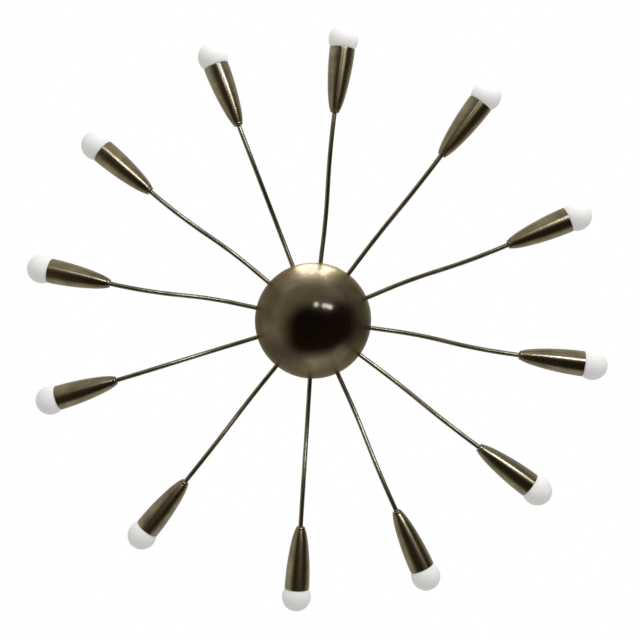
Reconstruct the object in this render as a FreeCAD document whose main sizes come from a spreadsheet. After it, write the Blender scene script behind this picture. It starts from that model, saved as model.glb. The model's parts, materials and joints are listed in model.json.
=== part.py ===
import FreeCAD, Part
import math
import os
import Sketcher

# Flush mount ceiling light: a spun dome against the ceiling, twelve bent tube arms out of its skirt,
# and on each arm a bullet cup with a small-screw lampholder and a round opal bulb.
# Millimetres and degrees. The origin is the centre of the ceiling face, +Z points into the ceiling
# and +X runs along the bracket.

ARM_COUNT = 12
SIDE_COUNT = 6
FULL_TURN = 360

# Driving dimensions
SIZES = [
    ("dome_radius", 90.0, "outside of the dome and its skirt"),
    ("dome_wall", 1.2, "sheet the dome is spun from"),
    ("skirt_height", 26.0, "straight skirt above the half sphere"),
    ("hem_height", 4.0, "rim folded back on the inside"),
    ("hem_wall", 1.2, "thickness that the fold adds"),
    ("strap_width", 20.0, "ceiling bracket"),
    ("strap_thick", 2.0, "ceiling bracket"),
    ("strap_bend", 3.5, "outside radius where the ears bend down"),
    ("ear_drop", 22.0, "height of the bent ears"),
    ("ear_gap", 0.3, "between an ear and the boss in the skirt"),
    ("slot_spacing", 100.0, "between the centres of the ceiling screw slots"),
    ("slot_radius", 2.75, "half the width of a ceiling screw slot"),
    ("slot_length", 16.0, "end to end length of a ceiling screw slot"),
    ("boss_radius", 5.0, "threaded boss inside the skirt"),
    ("boss_length", 4.0, "threaded boss inside the skirt"),
    ("set_screw_radius", 2.0, "headless canopy screw"),
    ("set_screw_length", 7.0, "headless canopy screw without its point"),
    ("set_screw_point", 1.5, "length of the conical point"),
    ("set_screw_sink", 0.3, "how far the screw lies below the skirt"),
    ("set_screw_slot", 0.6, "screwdriver slot, width"),
    ("set_screw_drop", 14.0, "screw axis below the ceiling"),
    ("thread_fit", 0.06, "radial room of a screw in its thread"),
    ("entry_radius", 6.0, "cable hole in the strap"),
    ("grommet_bore", 4.0, "cable bush, radius of its bore"),
    ("grommet_lip", 1.5, "cable bush, how far its lip covers the strap"),
    ("grommet_lip_thick", 1.5, "cable bush, lip under the strap"),
    ("grommet_head", 0.8, "cable bush, room left under the ceiling"),
    ("arm_height", 14.0, "arm root axes below the ceiling"),
    ("first_azimuth", -15.0, "first arm from the bracket line"),
    ("arm_radius", 3.5, "outside of the arm tube"),
    ("arm_bore", 2.5, "inside of the arm tube"),
    ("root_gap", 0.3, "between the tube's shoulder and the skirt"),
    ("root_radius", 3.0, "threaded nipple through the skirt"),
    ("root_bore", 2.0, "hollow of the nipple"),
    ("root_length", 12.0, "nipple from the skirt's face inwards"),
    ("root_fit", 0.08, "radial running room of the nipple"),
    ("root_run", 33.0, "straight tube before the first bend"),
    ("bend_angle", 20.5, "how steeply the tube drops between its bends"),
    ("root_bend", 210.0, "radius of the first bend"),
    ("slope_run", 21.0, "straight tube between the bends"),
    ("tip_bend", 260.0, "radius of the second bend"),
    ("tip_run", 10.5, "straight tube before the collar"),
    ("nut_across", 10.0, "lock nut, across its flats"),
    ("nut_height", 4.0, "lock nut, without its flange"),
    ("nut_flange", 6.0, "lock nut, radius of its flange"),
    ("nut_flange_thick", 1.2, "lock nut, flange"),
    ("nut_gap", 0.05, "between a flat nut flange and the round skirt"),
    ("collar_radius", 7.25, "collar behind the cup"),
    ("collar_neck", 4.6, "radius where the collar runs out on the tube"),
    ("collar_length", 4.5, "collar behind the cup"),
    ("collar_edge", 1.4, "cylindrical band of the collar"),
    ("spigot_radius", 5.0, "threaded spigot inside the cup"),
    ("spigot_length", 14.0, "spigot beyond the cup's end wall"),
    ("spigot_fit", 0.1, "radial room of the spigot in cup and holder"),
    ("cup_length", 92.0, "end wall to mouth"),
    ("cup_mouth", 19.25, "outside radius at the mouth"),
    ("cup_wall", 0.9, "sheet the cup is spun from"),
    ("cup_shoulder", 20.0, "length of the tighter curve at the small end"),
    ("cup_fullness", 0.45, "share of the widening that the shoulder makes"),
    ("holder_boss_wall", 1.2, "lampholder round the spigot"),
    ("holder_boss_room", 0.9, "between that boss and the cup"),
    ("holder_boss_length", 12.0, "lampholder, narrow end"),
    ("holder_base_wall", 4.0, "lampholder, wiring chamber round the spigot"),
    ("holder_base_length", 16.0, "lampholder, wiring chamber"),
    ("holder_wall", 4.0, "lampholder round its threaded shell"),
    ("holder_rim_room", 0.8, "between the holder's rim and the bulb's skirt"),
    ("shell_wall", 0.5, "threaded shell"),
    ("shell_fit", 0.05, "radial room of the shell in the holder"),
    ("shell_sink", 1.0, "shell below the holder's rim"),
    ("shell_raise", 2.5, "shell above the holder's floor"),
    ("contact_radius", 3.5, "centre contact"),
    ("contact_thick", 1.0, "centre contact"),
    ("contact_gap", 0.3, "between the centre contact and the bulb"),
    ("globe_radius", 22.5, "bulb"),
    ("globe_room", 0.55, "radial room of the globe in the cup's mouth"),
    ("bulb_length", 78.0, "end contact to the top of the globe"),
    ("neck_angle", 33.37, "slope of the neck where it meets the globe"),
    ("cap_radius", 6.9, "bulb's screw cap"),
    ("cap_fit", 0.3, "radial room of the cap in the shell"),
    ("cap_thread", 17.5, "length of the screw cap's thread"),
    ("cap_skirt_radius", 8.5, "wide top of the screw cap"),
    ("cap_flare", 3.0, "cone between the thread and the wide top"),
    ("cap_skirt", 3.0, "length of the wide top"),
    ("cap_tip_radius", 3.2, "end contact"),
    ("cap_tip_length", 2.0, "end contact"),
    ("cap_cone", 2.0, "insulating cone above the end contact"),
    ("lead_radius", 1.7, "two-core lead"),
    ("lead_gap", 0.3, "between the lead in the arm and the lead in the dome"),
    ("lead_hole_room", 0.3, "radial room of a lead where it enters a housing"),
    ("lead_straight", 12.0, "lead level with its arm before it sinks"),
    ("lead_level", 15.0, "lead level with its terminal"),
    ("lead_depth", 12.0, "lead inside the block"),
    ("block_radius", 32.0, "distributor block"),
    ("block_height", 15.0, "distributor block"),
    ("block_entry", 7.5, "lead entries below the block's top"),
    ("ring_inner", 11.0, "inner radius of the neutral ring"),
    ("ring_outer", 21.5, "inner radius of the live ring"),
    ("ring_width", 5.0, "both rings"),
    ("ring_depth", 2.5, "both rings"),
    ("ring_fit", 0.1, "room round the rings in their grooves"),
    ("clamp_radius", 1.75, "terminal screw heads"),
    ("clamp_height", 2.0, "terminal screw heads"),
    ("clamp_slot", 0.6, "screwdriver slot, width"),
    ("clamp_slot_depth", 0.8, "screwdriver slot, depth"),
    ("pillar_radius", 4.0, "pillars between the strap and the block"),
    ("pillar_height", 24.0, "pillars between the strap and the block"),
    ("pillar_place", 18.5, "pillars from the middle of the strap"),
    ("stud_radius", 2.0, "threaded ends of the pillars"),
    ("stud_over", 5.0, "stud below the block"),
    ("stud_sink", 0.2, "riveted stud end below the strap's face"),
    ("stud_nut_across", 7.0, "nut under the block, across its flats"),
    ("stud_nut_height", 3.2, "nut under the block"),
    ("earth_place", 4.25, "earth screw from midway between slot and ear, towards the slot"),
    ("earth_radius", 2.0, "earth screw"),
    ("earth_head_radius", 3.5, "earth screw"),
    ("earth_head", 2.6, "earth screw"),
    ("earth_washer_radius", 5.0, "earth washer"),
    ("earth_washer", 1.0, "earth washer"),
]

# Each arm's place: how far its hole lies from an even twelfth, and how far it is turned in that hole
ARM_SHIFT = [-1.0, -1.0, -1.0, -0.5, -1.5, -2.5, -4.5, 1.0, 5.0, 4.0, 2.0, 1.0]
ARM_ROLL = [-6.0, 8.0, 13.0, 12.5, 2.0, 3.0, -3.5, -6.5, 0.5, -14.0, -11.0, 5.0]

# Sizes worked out from the driving dimensions
WORKED = [
    ("dome_inner", "Sizes.dome_radius - Sizes.dome_wall"),
    ("hem_inner", "dome_inner - Sizes.hem_wall"),
    ("dome_end", "Sizes.skirt_height + Sizes.dome_radius"),
    ("dome_end_inner", "Sizes.skirt_height + dome_inner"),
    ("ear_outer", "dome_inner - Sizes.boss_length - Sizes.ear_gap"),
    ("ear_inner", "ear_outer - Sizes.strap_thick"),
    ("strap_flat", "ear_outer - Sizes.strap_bend"),
    ("strap_bend_inner", "Sizes.strap_bend - Sizes.strap_thick"),
    ("slot_reach", "Sizes.slot_spacing / 2"),
    ("slot_half", "Sizes.slot_length / 2 - Sizes.slot_radius"),
    ("slot_end", "slot_reach + Sizes.slot_length / 2"),
    ("boss_start", "dome_inner - Sizes.boss_length"),
    ("screw_hole", "Sizes.set_screw_radius + Sizes.thread_fit"),
    ("screw_top", "Sizes.dome_radius - Sizes.set_screw_sink"),
    ("screw_start", "screw_top - Sizes.set_screw_length"),
    ("screw_point", "screw_start - Sizes.set_screw_point"),
    ("grommet_lip_radius", "Sizes.entry_radius + Sizes.grommet_lip"),
    ("grommet_top", "Sizes.grommet_head"),
    ("grommet_low", "Sizes.strap_thick + Sizes.grommet_lip_thick"),
    ("root_hole", "Sizes.root_radius + Sizes.root_fit"),
    ("root_end", "Sizes.dome_radius - Sizes.root_length"),
    ("arm_start", "Sizes.dome_radius + Sizes.root_gap"),
    ("bend_out", "sin(Sizes.bend_angle)"),
    ("bend_down", "1 - cos(Sizes.bend_angle)"),
    ("path_one_x", "arm_start + Sizes.root_run"),
    ("path_two_x", "path_one_x + Sizes.root_bend * bend_out"),
    ("path_two_z", "Sizes.root_bend * bend_down"),
    ("path_three_x", "path_two_x + Sizes.slope_run * cos(Sizes.bend_angle)"),
    ("path_three_z", "path_two_z + Sizes.slope_run * bend_out"),
    ("path_four_x", "path_three_x + Sizes.tip_bend * bend_out"),
    ("tip_z", "path_three_z + Sizes.tip_bend * bend_down"),
    ("arm_end", "path_four_x + Sizes.tip_run"),
    ("tip_x", "arm_end + Sizes.collar_length"),
    ("collar_band", "Sizes.collar_length - Sizes.collar_edge"),
    ("spigot_end", "Sizes.cup_wall + Sizes.spigot_length"),
    ("spigot_hole", "Sizes.spigot_radius + Sizes.spigot_fit"),
    ("holder_boss", "spigot_hole + Sizes.holder_boss_wall"),
    ("cup_small", "holder_boss + Sizes.holder_boss_room + Sizes.cup_wall"),
    ("cup_joint", "cup_small + Sizes.cup_fullness * (Sizes.cup_mouth - cup_small)"),
    ("cup_side_run", "Sizes.cup_length - Sizes.cup_shoulder"),
    ("cup_side_rise", "Sizes.cup_mouth - cup_joint"),
    ("cup_side", "(cup_side_run ^ 2 + cup_side_rise ^ 2) / (2 * cup_side_rise)"),
    ("cup_lean", "asin(cup_side_run / cup_side)"),
    ("cup_chord", "sqrt(Sizes.cup_shoulder ^ 2 + (cup_joint - cup_small) ^ 2)"),
    ("cup_half_turn", "atan((cup_joint - cup_small) / Sizes.cup_shoulder) - cup_lean"),
    ("cup_crown", "cup_chord / (2 * sin(cup_half_turn))"),
    ("cup_crown_x", "Sizes.cup_shoulder + cup_crown * sin(cup_lean)"),
    ("cup_crown_y", "cup_joint - cup_crown * cos(cup_lean)"),
    ("cup_joint_in_x", "Sizes.cup_shoulder + Sizes.cup_wall * sin(cup_lean)"),
    ("cup_joint_in_y", "cup_joint - Sizes.cup_wall * cos(cup_lean)"),
    ("cup_mouth_in", "Sizes.cup_mouth - Sizes.cup_wall"),
    ("cup_side_in", "cup_side - Sizes.cup_wall"),
    ("cup_crown_in", "cup_crown - Sizes.cup_wall"),
    ("cup_small_in", "cup_crown_y + sqrt(cup_crown_in ^ 2 - (Sizes.cup_wall - cup_crown_x) ^ 2)"),
    ("globe_waist", "cup_mouth_in - Sizes.globe_room"),
    ("globe_x", "Sizes.cup_length + sqrt(Sizes.globe_radius ^ 2 - globe_waist ^ 2)"),
    ("bulb_top", "globe_x + Sizes.globe_radius"),
    ("bulb_tip", "bulb_top - Sizes.bulb_length"),
    ("cap_cone_start", "bulb_tip + Sizes.cap_tip_length"),
    ("cap_start", "cap_cone_start + Sizes.cap_cone"),
    ("cap_thread_end", "cap_start + Sizes.cap_thread"),
    ("cap_flare_end", "cap_thread_end + Sizes.cap_flare"),
    ("cap_end", "cap_flare_end + Sizes.cap_skirt"),
    ("neck_end_x", "globe_x - Sizes.globe_radius * sin(Sizes.neck_angle)"),
    ("neck_end_y", "Sizes.globe_radius * cos(Sizes.neck_angle)"),
    ("contact_top", "bulb_tip - Sizes.contact_gap"),
    ("holder_floor", "contact_top - Sizes.contact_thick"),
    ("holder_rim", "cap_thread_end - Sizes.holder_rim_room"),
    ("holder_boss_end", "Sizes.cup_wall + Sizes.holder_boss_length"),
    ("holder_base_end", "holder_boss_end + Sizes.holder_base_length"),
    ("holder_base", "spigot_hole + Sizes.holder_base_wall"),
    ("spigot_room", "spigot_end + Sizes.spigot_fit"),
    ("shell_bore", "Sizes.cap_radius + Sizes.cap_fit"),
    ("shell_outer", "shell_bore + Sizes.shell_wall"),
    ("holder_bore", "shell_outer + Sizes.shell_fit"),
    ("holder_radius", "holder_bore + Sizes.holder_wall"),
    ("shell_low", "holder_floor + Sizes.shell_raise"),
    ("shell_high", "holder_rim - Sizes.shell_sink"),
    ("lead_hole", "Sizes.lead_radius + Sizes.lead_hole_room"),
    ("lead_end", "tip_x + holder_boss_end + Sizes.holder_base_length / 2"),
    ("lead_hole_end", "holder_boss_end + Sizes.holder_base_length / 2 + Sizes.lead_hole_room"),
    ("nut_corner", "Sizes.nut_across / (2 * cos(30))"),
    ("nut_seat", "sqrt(dome_inner ^ 2 - Sizes.nut_flange ^ 2) - Sizes.nut_gap"),
    ("nut_flange_start", "nut_seat - Sizes.nut_flange_thick"),
    ("nut_start", "nut_flange_start - Sizes.nut_height"),
    ("nut_length", "Sizes.nut_height + Sizes.nut_flange_thick"),
    ("block_top", "Sizes.strap_thick + Sizes.pillar_height"),
    ("block_low", "block_top + Sizes.block_height"),
    ("entry_z", "block_top + Sizes.block_entry"),
    ("groove_floor", "block_top + Sizes.ring_depth"),
    ("inner_groove_in", "Sizes.ring_inner - Sizes.ring_fit"),
    ("inner_groove_out", "Sizes.ring_inner + Sizes.ring_width + Sizes.ring_fit"),
    ("outer_groove_in", "Sizes.ring_outer - Sizes.ring_fit"),
    ("outer_groove_out", "Sizes.ring_outer + Sizes.ring_width + Sizes.ring_fit"),
    ("inner_ring_out", "Sizes.ring_inner + Sizes.ring_width"),
    ("outer_ring_out", "Sizes.ring_outer + Sizes.ring_width"),
    ("inner_clamps", "Sizes.ring_inner + Sizes.ring_width / 2"),
    ("outer_clamps", "Sizes.ring_outer + Sizes.ring_width / 2"),
    ("stud_hole", "Sizes.stud_radius + Sizes.thread_fit"),
    ("stud_end", "block_low + Sizes.stud_over"),
    ("stud_length", "stud_end - Sizes.stud_sink"),
    ("stud_nut_corner", "Sizes.stud_nut_across / (2 * cos(30))"),
    ("stud_nut_low", "block_low + Sizes.stud_nut_height"),
    ("earth_x", "(slot_end + ear_inner) / 2 - Sizes.earth_place"),
    ("earth_hole", "Sizes.earth_radius + Sizes.thread_fit"),
    ("earth_washer_low", "Sizes.strap_thick + Sizes.earth_washer"),
    ("earth_head_low", "earth_washer_low + Sizes.earth_head"),
    ("earth_length", "earth_head_low - Sizes.stud_sink"),
]

doc = FreeCAD.newDocument("CeilingLight")
nodes = []


def fill_sheet(name, rows):
    """A sheet with one named cell per row."""
    sheet = doc.addObject("Spreadsheet::Sheet", name)
    for number, (alias, content) in enumerate(rows, start=1):
        sheet.set(f"A{number}", alias)
        sheet.set(f"B{number}", content)
        sheet.setAlias(f"B{number}", alias)
    return sheet


def arm_cells():
    """The two measured angles of each arm, and the azimuths that follow from them."""
    driving, worked = [], []
    for index in range(ARM_COUNT):
        tag = f"{index + 1:02d}"
        driving.append((f"arm_shift_{tag}", str(ARM_SHIFT[index])))
        driving.append((f"arm_roll_{tag}", str(ARM_ROLL[index])))
        worked.append((f"even_{tag}", f"=Sizes.first_azimuth + {index} * {FULL_TURN} / {ARM_COUNT}"))
        worked.append((f"azimuth_{tag}", f"=even_{tag} + Sizes.arm_shift_{tag}"))
    return driving, worked


def cell(ref):
    """The number in a named cell; a leading minus turns its sign."""
    sheet_name, alias = ref.lstrip("-").split(".")
    value = doc.getObject(sheet_name).get(alias)
    number = float(getattr(value, "Value", value))
    return -number if ref.startswith("-") else number


def plane_of(body, role):
    """One of the body's own origin planes."""
    return next(feature for feature in body.Origin.OriginFeatures if feature.Role == role)


def new_sketch(body, name, role="XZ_Plane", x=None, y=None, z=None):
    """A sketch on an origin plane, moved in that plane's own directions by named cells."""
    sketch = body.newObject("Sketcher::SketchObject", name)
    sketch.AttachmentSupport = [(plane_of(body, role), "")]
    sketch.MapMode = "FlatFace"
    for direction, ref in (("x", x), ("y", y), ("z", z)):
        if ref:
            sketch.setExpression(f"AttachmentOffset.Base.{direction}", ref)
    return sketch


def bind(sketch, constraint, ref):
    """Adds a constraint and ties its value to a cell."""
    number = sketch.addConstraint(constraint)
    sketch.setExpression(f"Constraints[{number}]", ref)


def pin(sketch, geometry, end, point):
    """Holds one end of a side at a point given by two cells; 0 keeps it on the axis."""
    for kind, axis, ref in (("DistanceX", -2, point[0]), ("DistanceY", -1, point[1])):
        if ref == "0":
            sketch.addConstraint(Sketcher.Constraint("PointOnObject", geometry, end, axis))
        else:
            bind(sketch, Sketcher.Constraint(kind, -1, 1, geometry, end, cell(ref)), ref)


def vector_of(point):
    """A sketch point from two cells."""
    return FreeCAD.Vector(*(0.0 if ref == "0" else cell(ref) for ref in point), 0.0)


def arc_through(start, end, radius, side):
    """The short arc from start to end; side is 1 where its centre lies on the left, -1 on the right."""
    half = (end - start) / 2
    left = FreeCAD.Vector(-half.y, half.x, 0).normalize()
    height = math.sqrt(radius ** 2 - half.Length ** 2)
    crown = start + half + left * side * (height - radius)
    if side > 0:
        return Part.Arc(start, crown, end)
    return Part.Arc(end, crown, start)


def draw(sketch, points, arcs=None, closed=True):
    """Lines and arcs through pinned points; arcs gives (radius cell, side) for a side's number."""
    arcs = arcs or {}
    first = sketch.GeometryCount
    count = len(points) if closed else len(points) - 1
    ends = []
    for index in range(count):
        start = vector_of(points[index])
        end = vector_of(points[(index + 1) % len(points)])
        if index in arcs:
            radius, side = arcs[index]
            sketch.addGeometry(arc_through(start, end, cell(radius), side), False)
            ends.append((1, 2) if side > 0 else (2, 1))
        else:
            sketch.addGeometry(Part.LineSegment(start, end), False)
            ends.append((1, 2))
    for index in range(count):
        pin(sketch, first + index, ends[index][0], points[index])
        if closed or index + 1 < count:
            after = (index + 1) % count
            joint = (first + index, ends[index][1], first + after, ends[after][0])
            sketch.addConstraint(Sketcher.Constraint("Coincident", *joint))
        else:
            pin(sketch, first + index, ends[index][1], points[index + 1])
        if index in arcs:
            bind(sketch, Sketcher.Constraint("Radius", first + index, cell(arcs[index][0])), arcs[index][0])


def draw_circle(sketch, radius):
    """A circle about the sketch's own origin."""
    circle = Part.Circle(FreeCAD.Vector(0, 0, 0), FreeCAD.Vector(0, 0, 1), cell(radius))
    number = sketch.addGeometry(circle, False)
    sketch.addConstraint(Sketcher.Constraint("Coincident", number, 3, -1, 1))
    bind(sketch, Sketcher.Constraint("Radius", number, cell(radius)), radius)


def new_body(label, placement=None):
    """An empty body, placed by an expression."""
    body = doc.addObject("PartDesign::Body", label)
    body.Label = label
    if placement:
        body.setExpression("Placement", placement)
    return body


def turn(body, name, outlines, axis, x=None, y=None):
    """Revolves one or more closed outlines about the sketch's own axis."""
    sketch = new_sketch(body, f"{name}_outline", x=x, y=y)
    for points, arcs in outlines:
        draw(sketch, points, arcs)
    feature = body.newObject("PartDesign::Revolution", name)
    feature.Profile = sketch
    feature.ReferenceAxis = (sketch, [axis])
    feature.Angle = FULL_TURN
    return feature


def radial(azimuth, start, drop):
    """Placement of a piece whose own Z axis runs outwards at an azimuth, from a start radius."""
    place = f"vector(({start}) * cos({azimuth}); ({start}) * sin({azimuth}); -({drop}))"
    return f"placement({place}; rotation({azimuth}; 90; 0))"


def upright(x, y, low):
    """Placement of a piece that stands on a level below the ceiling."""
    return f"placement(vector({x}; {y}; -({low})); rotation(0; 0; 0))"


def cylinder(name, radius, height, placement):
    """A round bar, or the tool for a round hole."""
    bar = doc.addObject("Part::Cylinder", name)
    bar.setExpression("Radius", radius)
    bar.setExpression("Height", height)
    bar.setExpression("Placement", placement)
    return bar


def hexagon(name, corner, height, placement):
    """A hexagon bar given by the radius of its corners."""
    bar = doc.addObject("Part::Prism", name)
    bar.Polygon = SIDE_COUNT
    bar.setExpression("Circumradius", corner)
    bar.setExpression("Height", height)
    bar.setExpression("Placement", placement)
    return bar


def slab(name, length, width, height, placement):
    """A rectangular bar from its own corner."""
    box = doc.addObject("Part::Box", name)
    box.setExpression("Length", length)
    box.setExpression("Width", width)
    box.setExpression("Height", height)
    box.setExpression("Placement", placement)
    return box


def fuse(name, pieces):
    """One solid out of several that touch."""
    joined = doc.addObject("Part::MultiFuse", name)
    joined.Shapes = pieces
    return joined


def group(name, pieces):
    """Several separate solids under one name."""
    together = doc.addObject("Part::Compound", name)
    together.Links = pieces
    return together


def cut(name, base, tools):
    """The base without its tools."""
    rest = doc.addObject("Part::Cut", name)
    rest.Base = base
    rest.Tool = tools[0] if len(tools) == 1 else group(f"{name}_tools", tools)
    return rest


def keep(piece, label):
    """Names a finished piece and puts it on the list of nodes."""
    piece.Label = label
    nodes.append(piece)


def arm_frame(tag):
    """Frame of one arm: X outwards along its root axis, Z the way the tube drops."""
    yaw = f"Worked.azimuth_{tag}"
    return f"placement(vector(0; 0; -Sizes.arm_height); rotation({yaw}; 0; 180 + Sizes.arm_roll_{tag}))"


def arm_path(body, name, start, end):
    """The arm's centre line: level, bent down, straight, bent back level."""
    points = [
        (start, "0"),
        ("Worked.path_one_x", "0"),
        ("Worked.path_two_x", "Worked.path_two_z"),
        ("Worked.path_three_x", "Worked.path_three_z"),
        ("Worked.path_four_x", "Worked.tip_z"),
        (end, "Worked.tip_z"),
    ]
    path = new_sketch(body, name)
    draw(path, points, {1: ("Sizes.root_bend", 1), 3: ("Sizes.tip_bend", -1)}, closed=False)
    return path


def pipe(body, name, start, end, radii):
    """A round section, hollow where two radii are given, carried along the arm's centre line."""
    path = arm_path(body, f"{name}_path", start, end)
    section = new_sketch(body, f"{name}_section", "YZ_Plane", z=start)
    for radius in radii:
        draw_circle(section, radius)
    feature = body.newObject("PartDesign::AdditivePipe", name)
    feature.Profile = section
    feature.Spine = path
    return feature


# Canopy

def canopy_dome():
    """Half sphere with a straight skirt and a hemmed rim, drilled for the arms and the set screws."""
    body = new_body("dome_shell")
    points = [
        ("Sizes.dome_radius", "0"),
        ("Sizes.dome_radius", "-Sizes.skirt_height"),
        ("0", "-Worked.dome_end"),
        ("0", "-Worked.dome_end_inner"),
        ("Worked.dome_inner", "-Sizes.skirt_height"),
        ("Worked.dome_inner", "-Sizes.hem_height"),
        ("Worked.hem_inner", "-Sizes.hem_height"),
        ("Worked.hem_inner", "0"),
    ]
    turn(body, "shell", [(points, {1: ("Sizes.dome_radius", -1), 3: ("Worked.dome_inner", 1)})], "V_Axis")
    bosses, holes = [], []
    for side, azimuth in (("right", "0"), ("left", "180")):
        # each boss reaches into the wall, so that it joins the curved skirt all round
        boss_length = "Sizes.boss_length + Sizes.dome_wall / 2"
        place = radial(azimuth, "Worked.boss_start", "Sizes.set_screw_drop")
        bosses.append(cylinder(f"boss_{side}", "Sizes.boss_radius", boss_length, place))
        hole_length = "2 * Sizes.boss_length + Sizes.dome_wall"
        holes.append(cylinder(f"screw_hole_{side}", "Worked.screw_hole", hole_length, place))
    for tag in arm_tags:
        place = radial(f"Worked.azimuth_{tag}", "Worked.root_end", "Sizes.arm_height")
        holes.append(cylinder(f"arm_hole_{tag}", "Worked.root_hole", "2 * Sizes.root_length", place))
    keep(cut("drilled_dome", fuse("bossed_dome", [body] + bosses), holes), "canopy_dome")


def canopy_set_screws():
    """Headless screws with a conical point and a screwdriver slot, just below the skirt's face."""
    screws = []
    for side, azimuth in (("right", "0"), ("left", "180")):
        place = radial(azimuth, "Worked.screw_start", "Sizes.set_screw_drop")
        shank = cylinder(f"set_shank_{side}", "Sizes.set_screw_radius", "Sizes.set_screw_length", place)
        point = doc.addObject("Part::Cone", f"set_point_{side}")
        point.setExpression("Radius1", "Sizes.set_screw_radius / 2")
        point.setExpression("Radius2", "Sizes.set_screw_radius")
        point.setExpression("Height", "Sizes.set_screw_point")
        point.setExpression("Placement", radial(azimuth, "Worked.screw_point", "Sizes.set_screw_drop"))
        sense = "1" if side == "right" else "-1"
        corner = f"vector({sense} * Worked.screw_top - Sizes.set_screw_radius / 2; "
        corner += "-Sizes.set_screw_radius; -Sizes.set_screw_drop - Sizes.set_screw_slot / 2)"
        across = "2 * Sizes.set_screw_radius"
        slot_place = f"placement({corner}; rotation(0; 0; 0))"
        slot = slab(f"set_slot_{side}", "Sizes.set_screw_radius", across, "Sizes.set_screw_slot", slot_place)
        screws.append(cut(f"set_screw_{side}", fuse(f"set_blank_{side}", [shank, point]), [slot]))
    keep(group("set_screws", screws), "canopy_set_screws")


def ceiling_bracket():
    """Strap with two ears bent down, slotted for the ceiling screws."""
    body = new_body("strap")
    points = [
        ("0", "0"),
        ("Worked.strap_flat", "0"),
        ("Worked.ear_outer", "-Sizes.strap_bend"),
        ("Worked.ear_outer", "-Sizes.ear_drop"),
        ("Worked.ear_inner", "-Sizes.ear_drop"),
        ("Worked.ear_inner", "-Sizes.strap_bend"),
        ("Worked.strap_flat", "-Sizes.strap_thick"),
        ("0", "-Sizes.strap_thick"),
    ]
    sketch = new_sketch(body, "strap_outline")
    draw(sketch, points, {1: ("Sizes.strap_bend", -1), 5: ("Worked.strap_bend_inner", 1)})
    half = body.newObject("PartDesign::Pad", "half_strap")
    half.Profile = sketch
    half.SideType = "Symmetric"
    half.setExpression("Length", "Sizes.strap_width")
    whole = body.newObject("PartDesign::Mirrored", "whole_strap")
    whole.Originals = [half]
    whole.MirrorPlane = (plane_of(body, "YZ_Plane"), [""])
    body.Tip = whole
    holes = [cylinder("entry_hole", "Sizes.entry_radius", "2 * Sizes.strap_thick",
                      upright("0", "0", "2 * Sizes.strap_thick"))]
    for sense in ("-1", "1"):
        name = "left" if sense == "-1" else "right"
        for end in ("-1", "1"):
            at = f"{sense} * Worked.slot_reach + {end} * Worked.slot_half"
            place = upright(at, "0", "2 * Sizes.strap_thick")
            holes.append(cylinder(f"slot_end_{name}", "Sizes.slot_radius", "2 * Sizes.strap_thick", place))
        corner = upright(f"{sense} * Worked.slot_reach - Worked.slot_half", "-Sizes.slot_radius",
                         "2 * Sizes.strap_thick")
        holes.append(slab(f"slot_{name}", "2 * Worked.slot_half", "2 * Sizes.slot_radius",
                          "2 * Sizes.strap_thick", corner))
        place = upright(f"{sense} * Sizes.pillar_place", "0", "2 * Sizes.strap_thick")
        holes.append(cylinder(f"stud_hole_{name}", "Worked.stud_hole", "2 * Sizes.strap_thick", place))
        azimuth = "0" if sense == "1" else "180"
        place = radial(azimuth, "Worked.ear_inner - Sizes.strap_thick", "Sizes.set_screw_drop")
        holes.append(cylinder(f"ear_hole_{name}", "Worked.screw_hole", "3 * Sizes.strap_thick", place))
    place = upright("Worked.earth_x", "0", "2 * Sizes.strap_thick")
    holes.append(cylinder("earth_screw_hole", "Worked.earth_hole", "2 * Sizes.strap_thick", place))
    # the tools overlap in the slots, so they are joined before they cut
    keep(cut("slotted_strap", body, [fuse("strap_holes", holes)]), "ceiling_bracket")


def cable_grommet():
    """Rubber bush in the cable hole, with a lip under the strap."""
    body = new_body("cable_grommet")
    points = [
        ("Sizes.grommet_bore", "-Worked.grommet_top"),
        ("Sizes.entry_radius", "-Worked.grommet_top"),
        ("Sizes.entry_radius", "-Sizes.strap_thick"),
        ("Worked.grommet_lip_radius", "-Sizes.strap_thick"),
        ("Worked.grommet_lip_radius", "-Worked.grommet_low"),
        ("Sizes.grommet_bore", "-Worked.grommet_low"),
    ]
    turn(body, "bush", [(points, None)], "V_Axis")
    keep(body, "cable_grommet")


def earth_terminal():
    """Screw under the strap with its washer."""
    place = upright("Worked.earth_x", "0", "Worked.earth_head_low")
    head = cylinder("earth_head", "Sizes.earth_head_radius", "Sizes.earth_head", place)
    shank = cylinder("earth_shank", "Sizes.earth_radius", "Worked.earth_length", place)
    under = upright("Worked.earth_x", "0", "Worked.earth_washer_low")
    disc = cylinder("earth_disc", "Sizes.earth_washer_radius", "Sizes.earth_washer", under)
    hole = cylinder("earth_disc_hole", "Worked.earth_hole", "Sizes.earth_washer", under)
    washer = cut("earth_washer_ring", disc, [hole])
    keep(group("earth_pieces", [fuse("earth_screw", [head, shank]), washer]), "earth_terminal")


# Distributor

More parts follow.
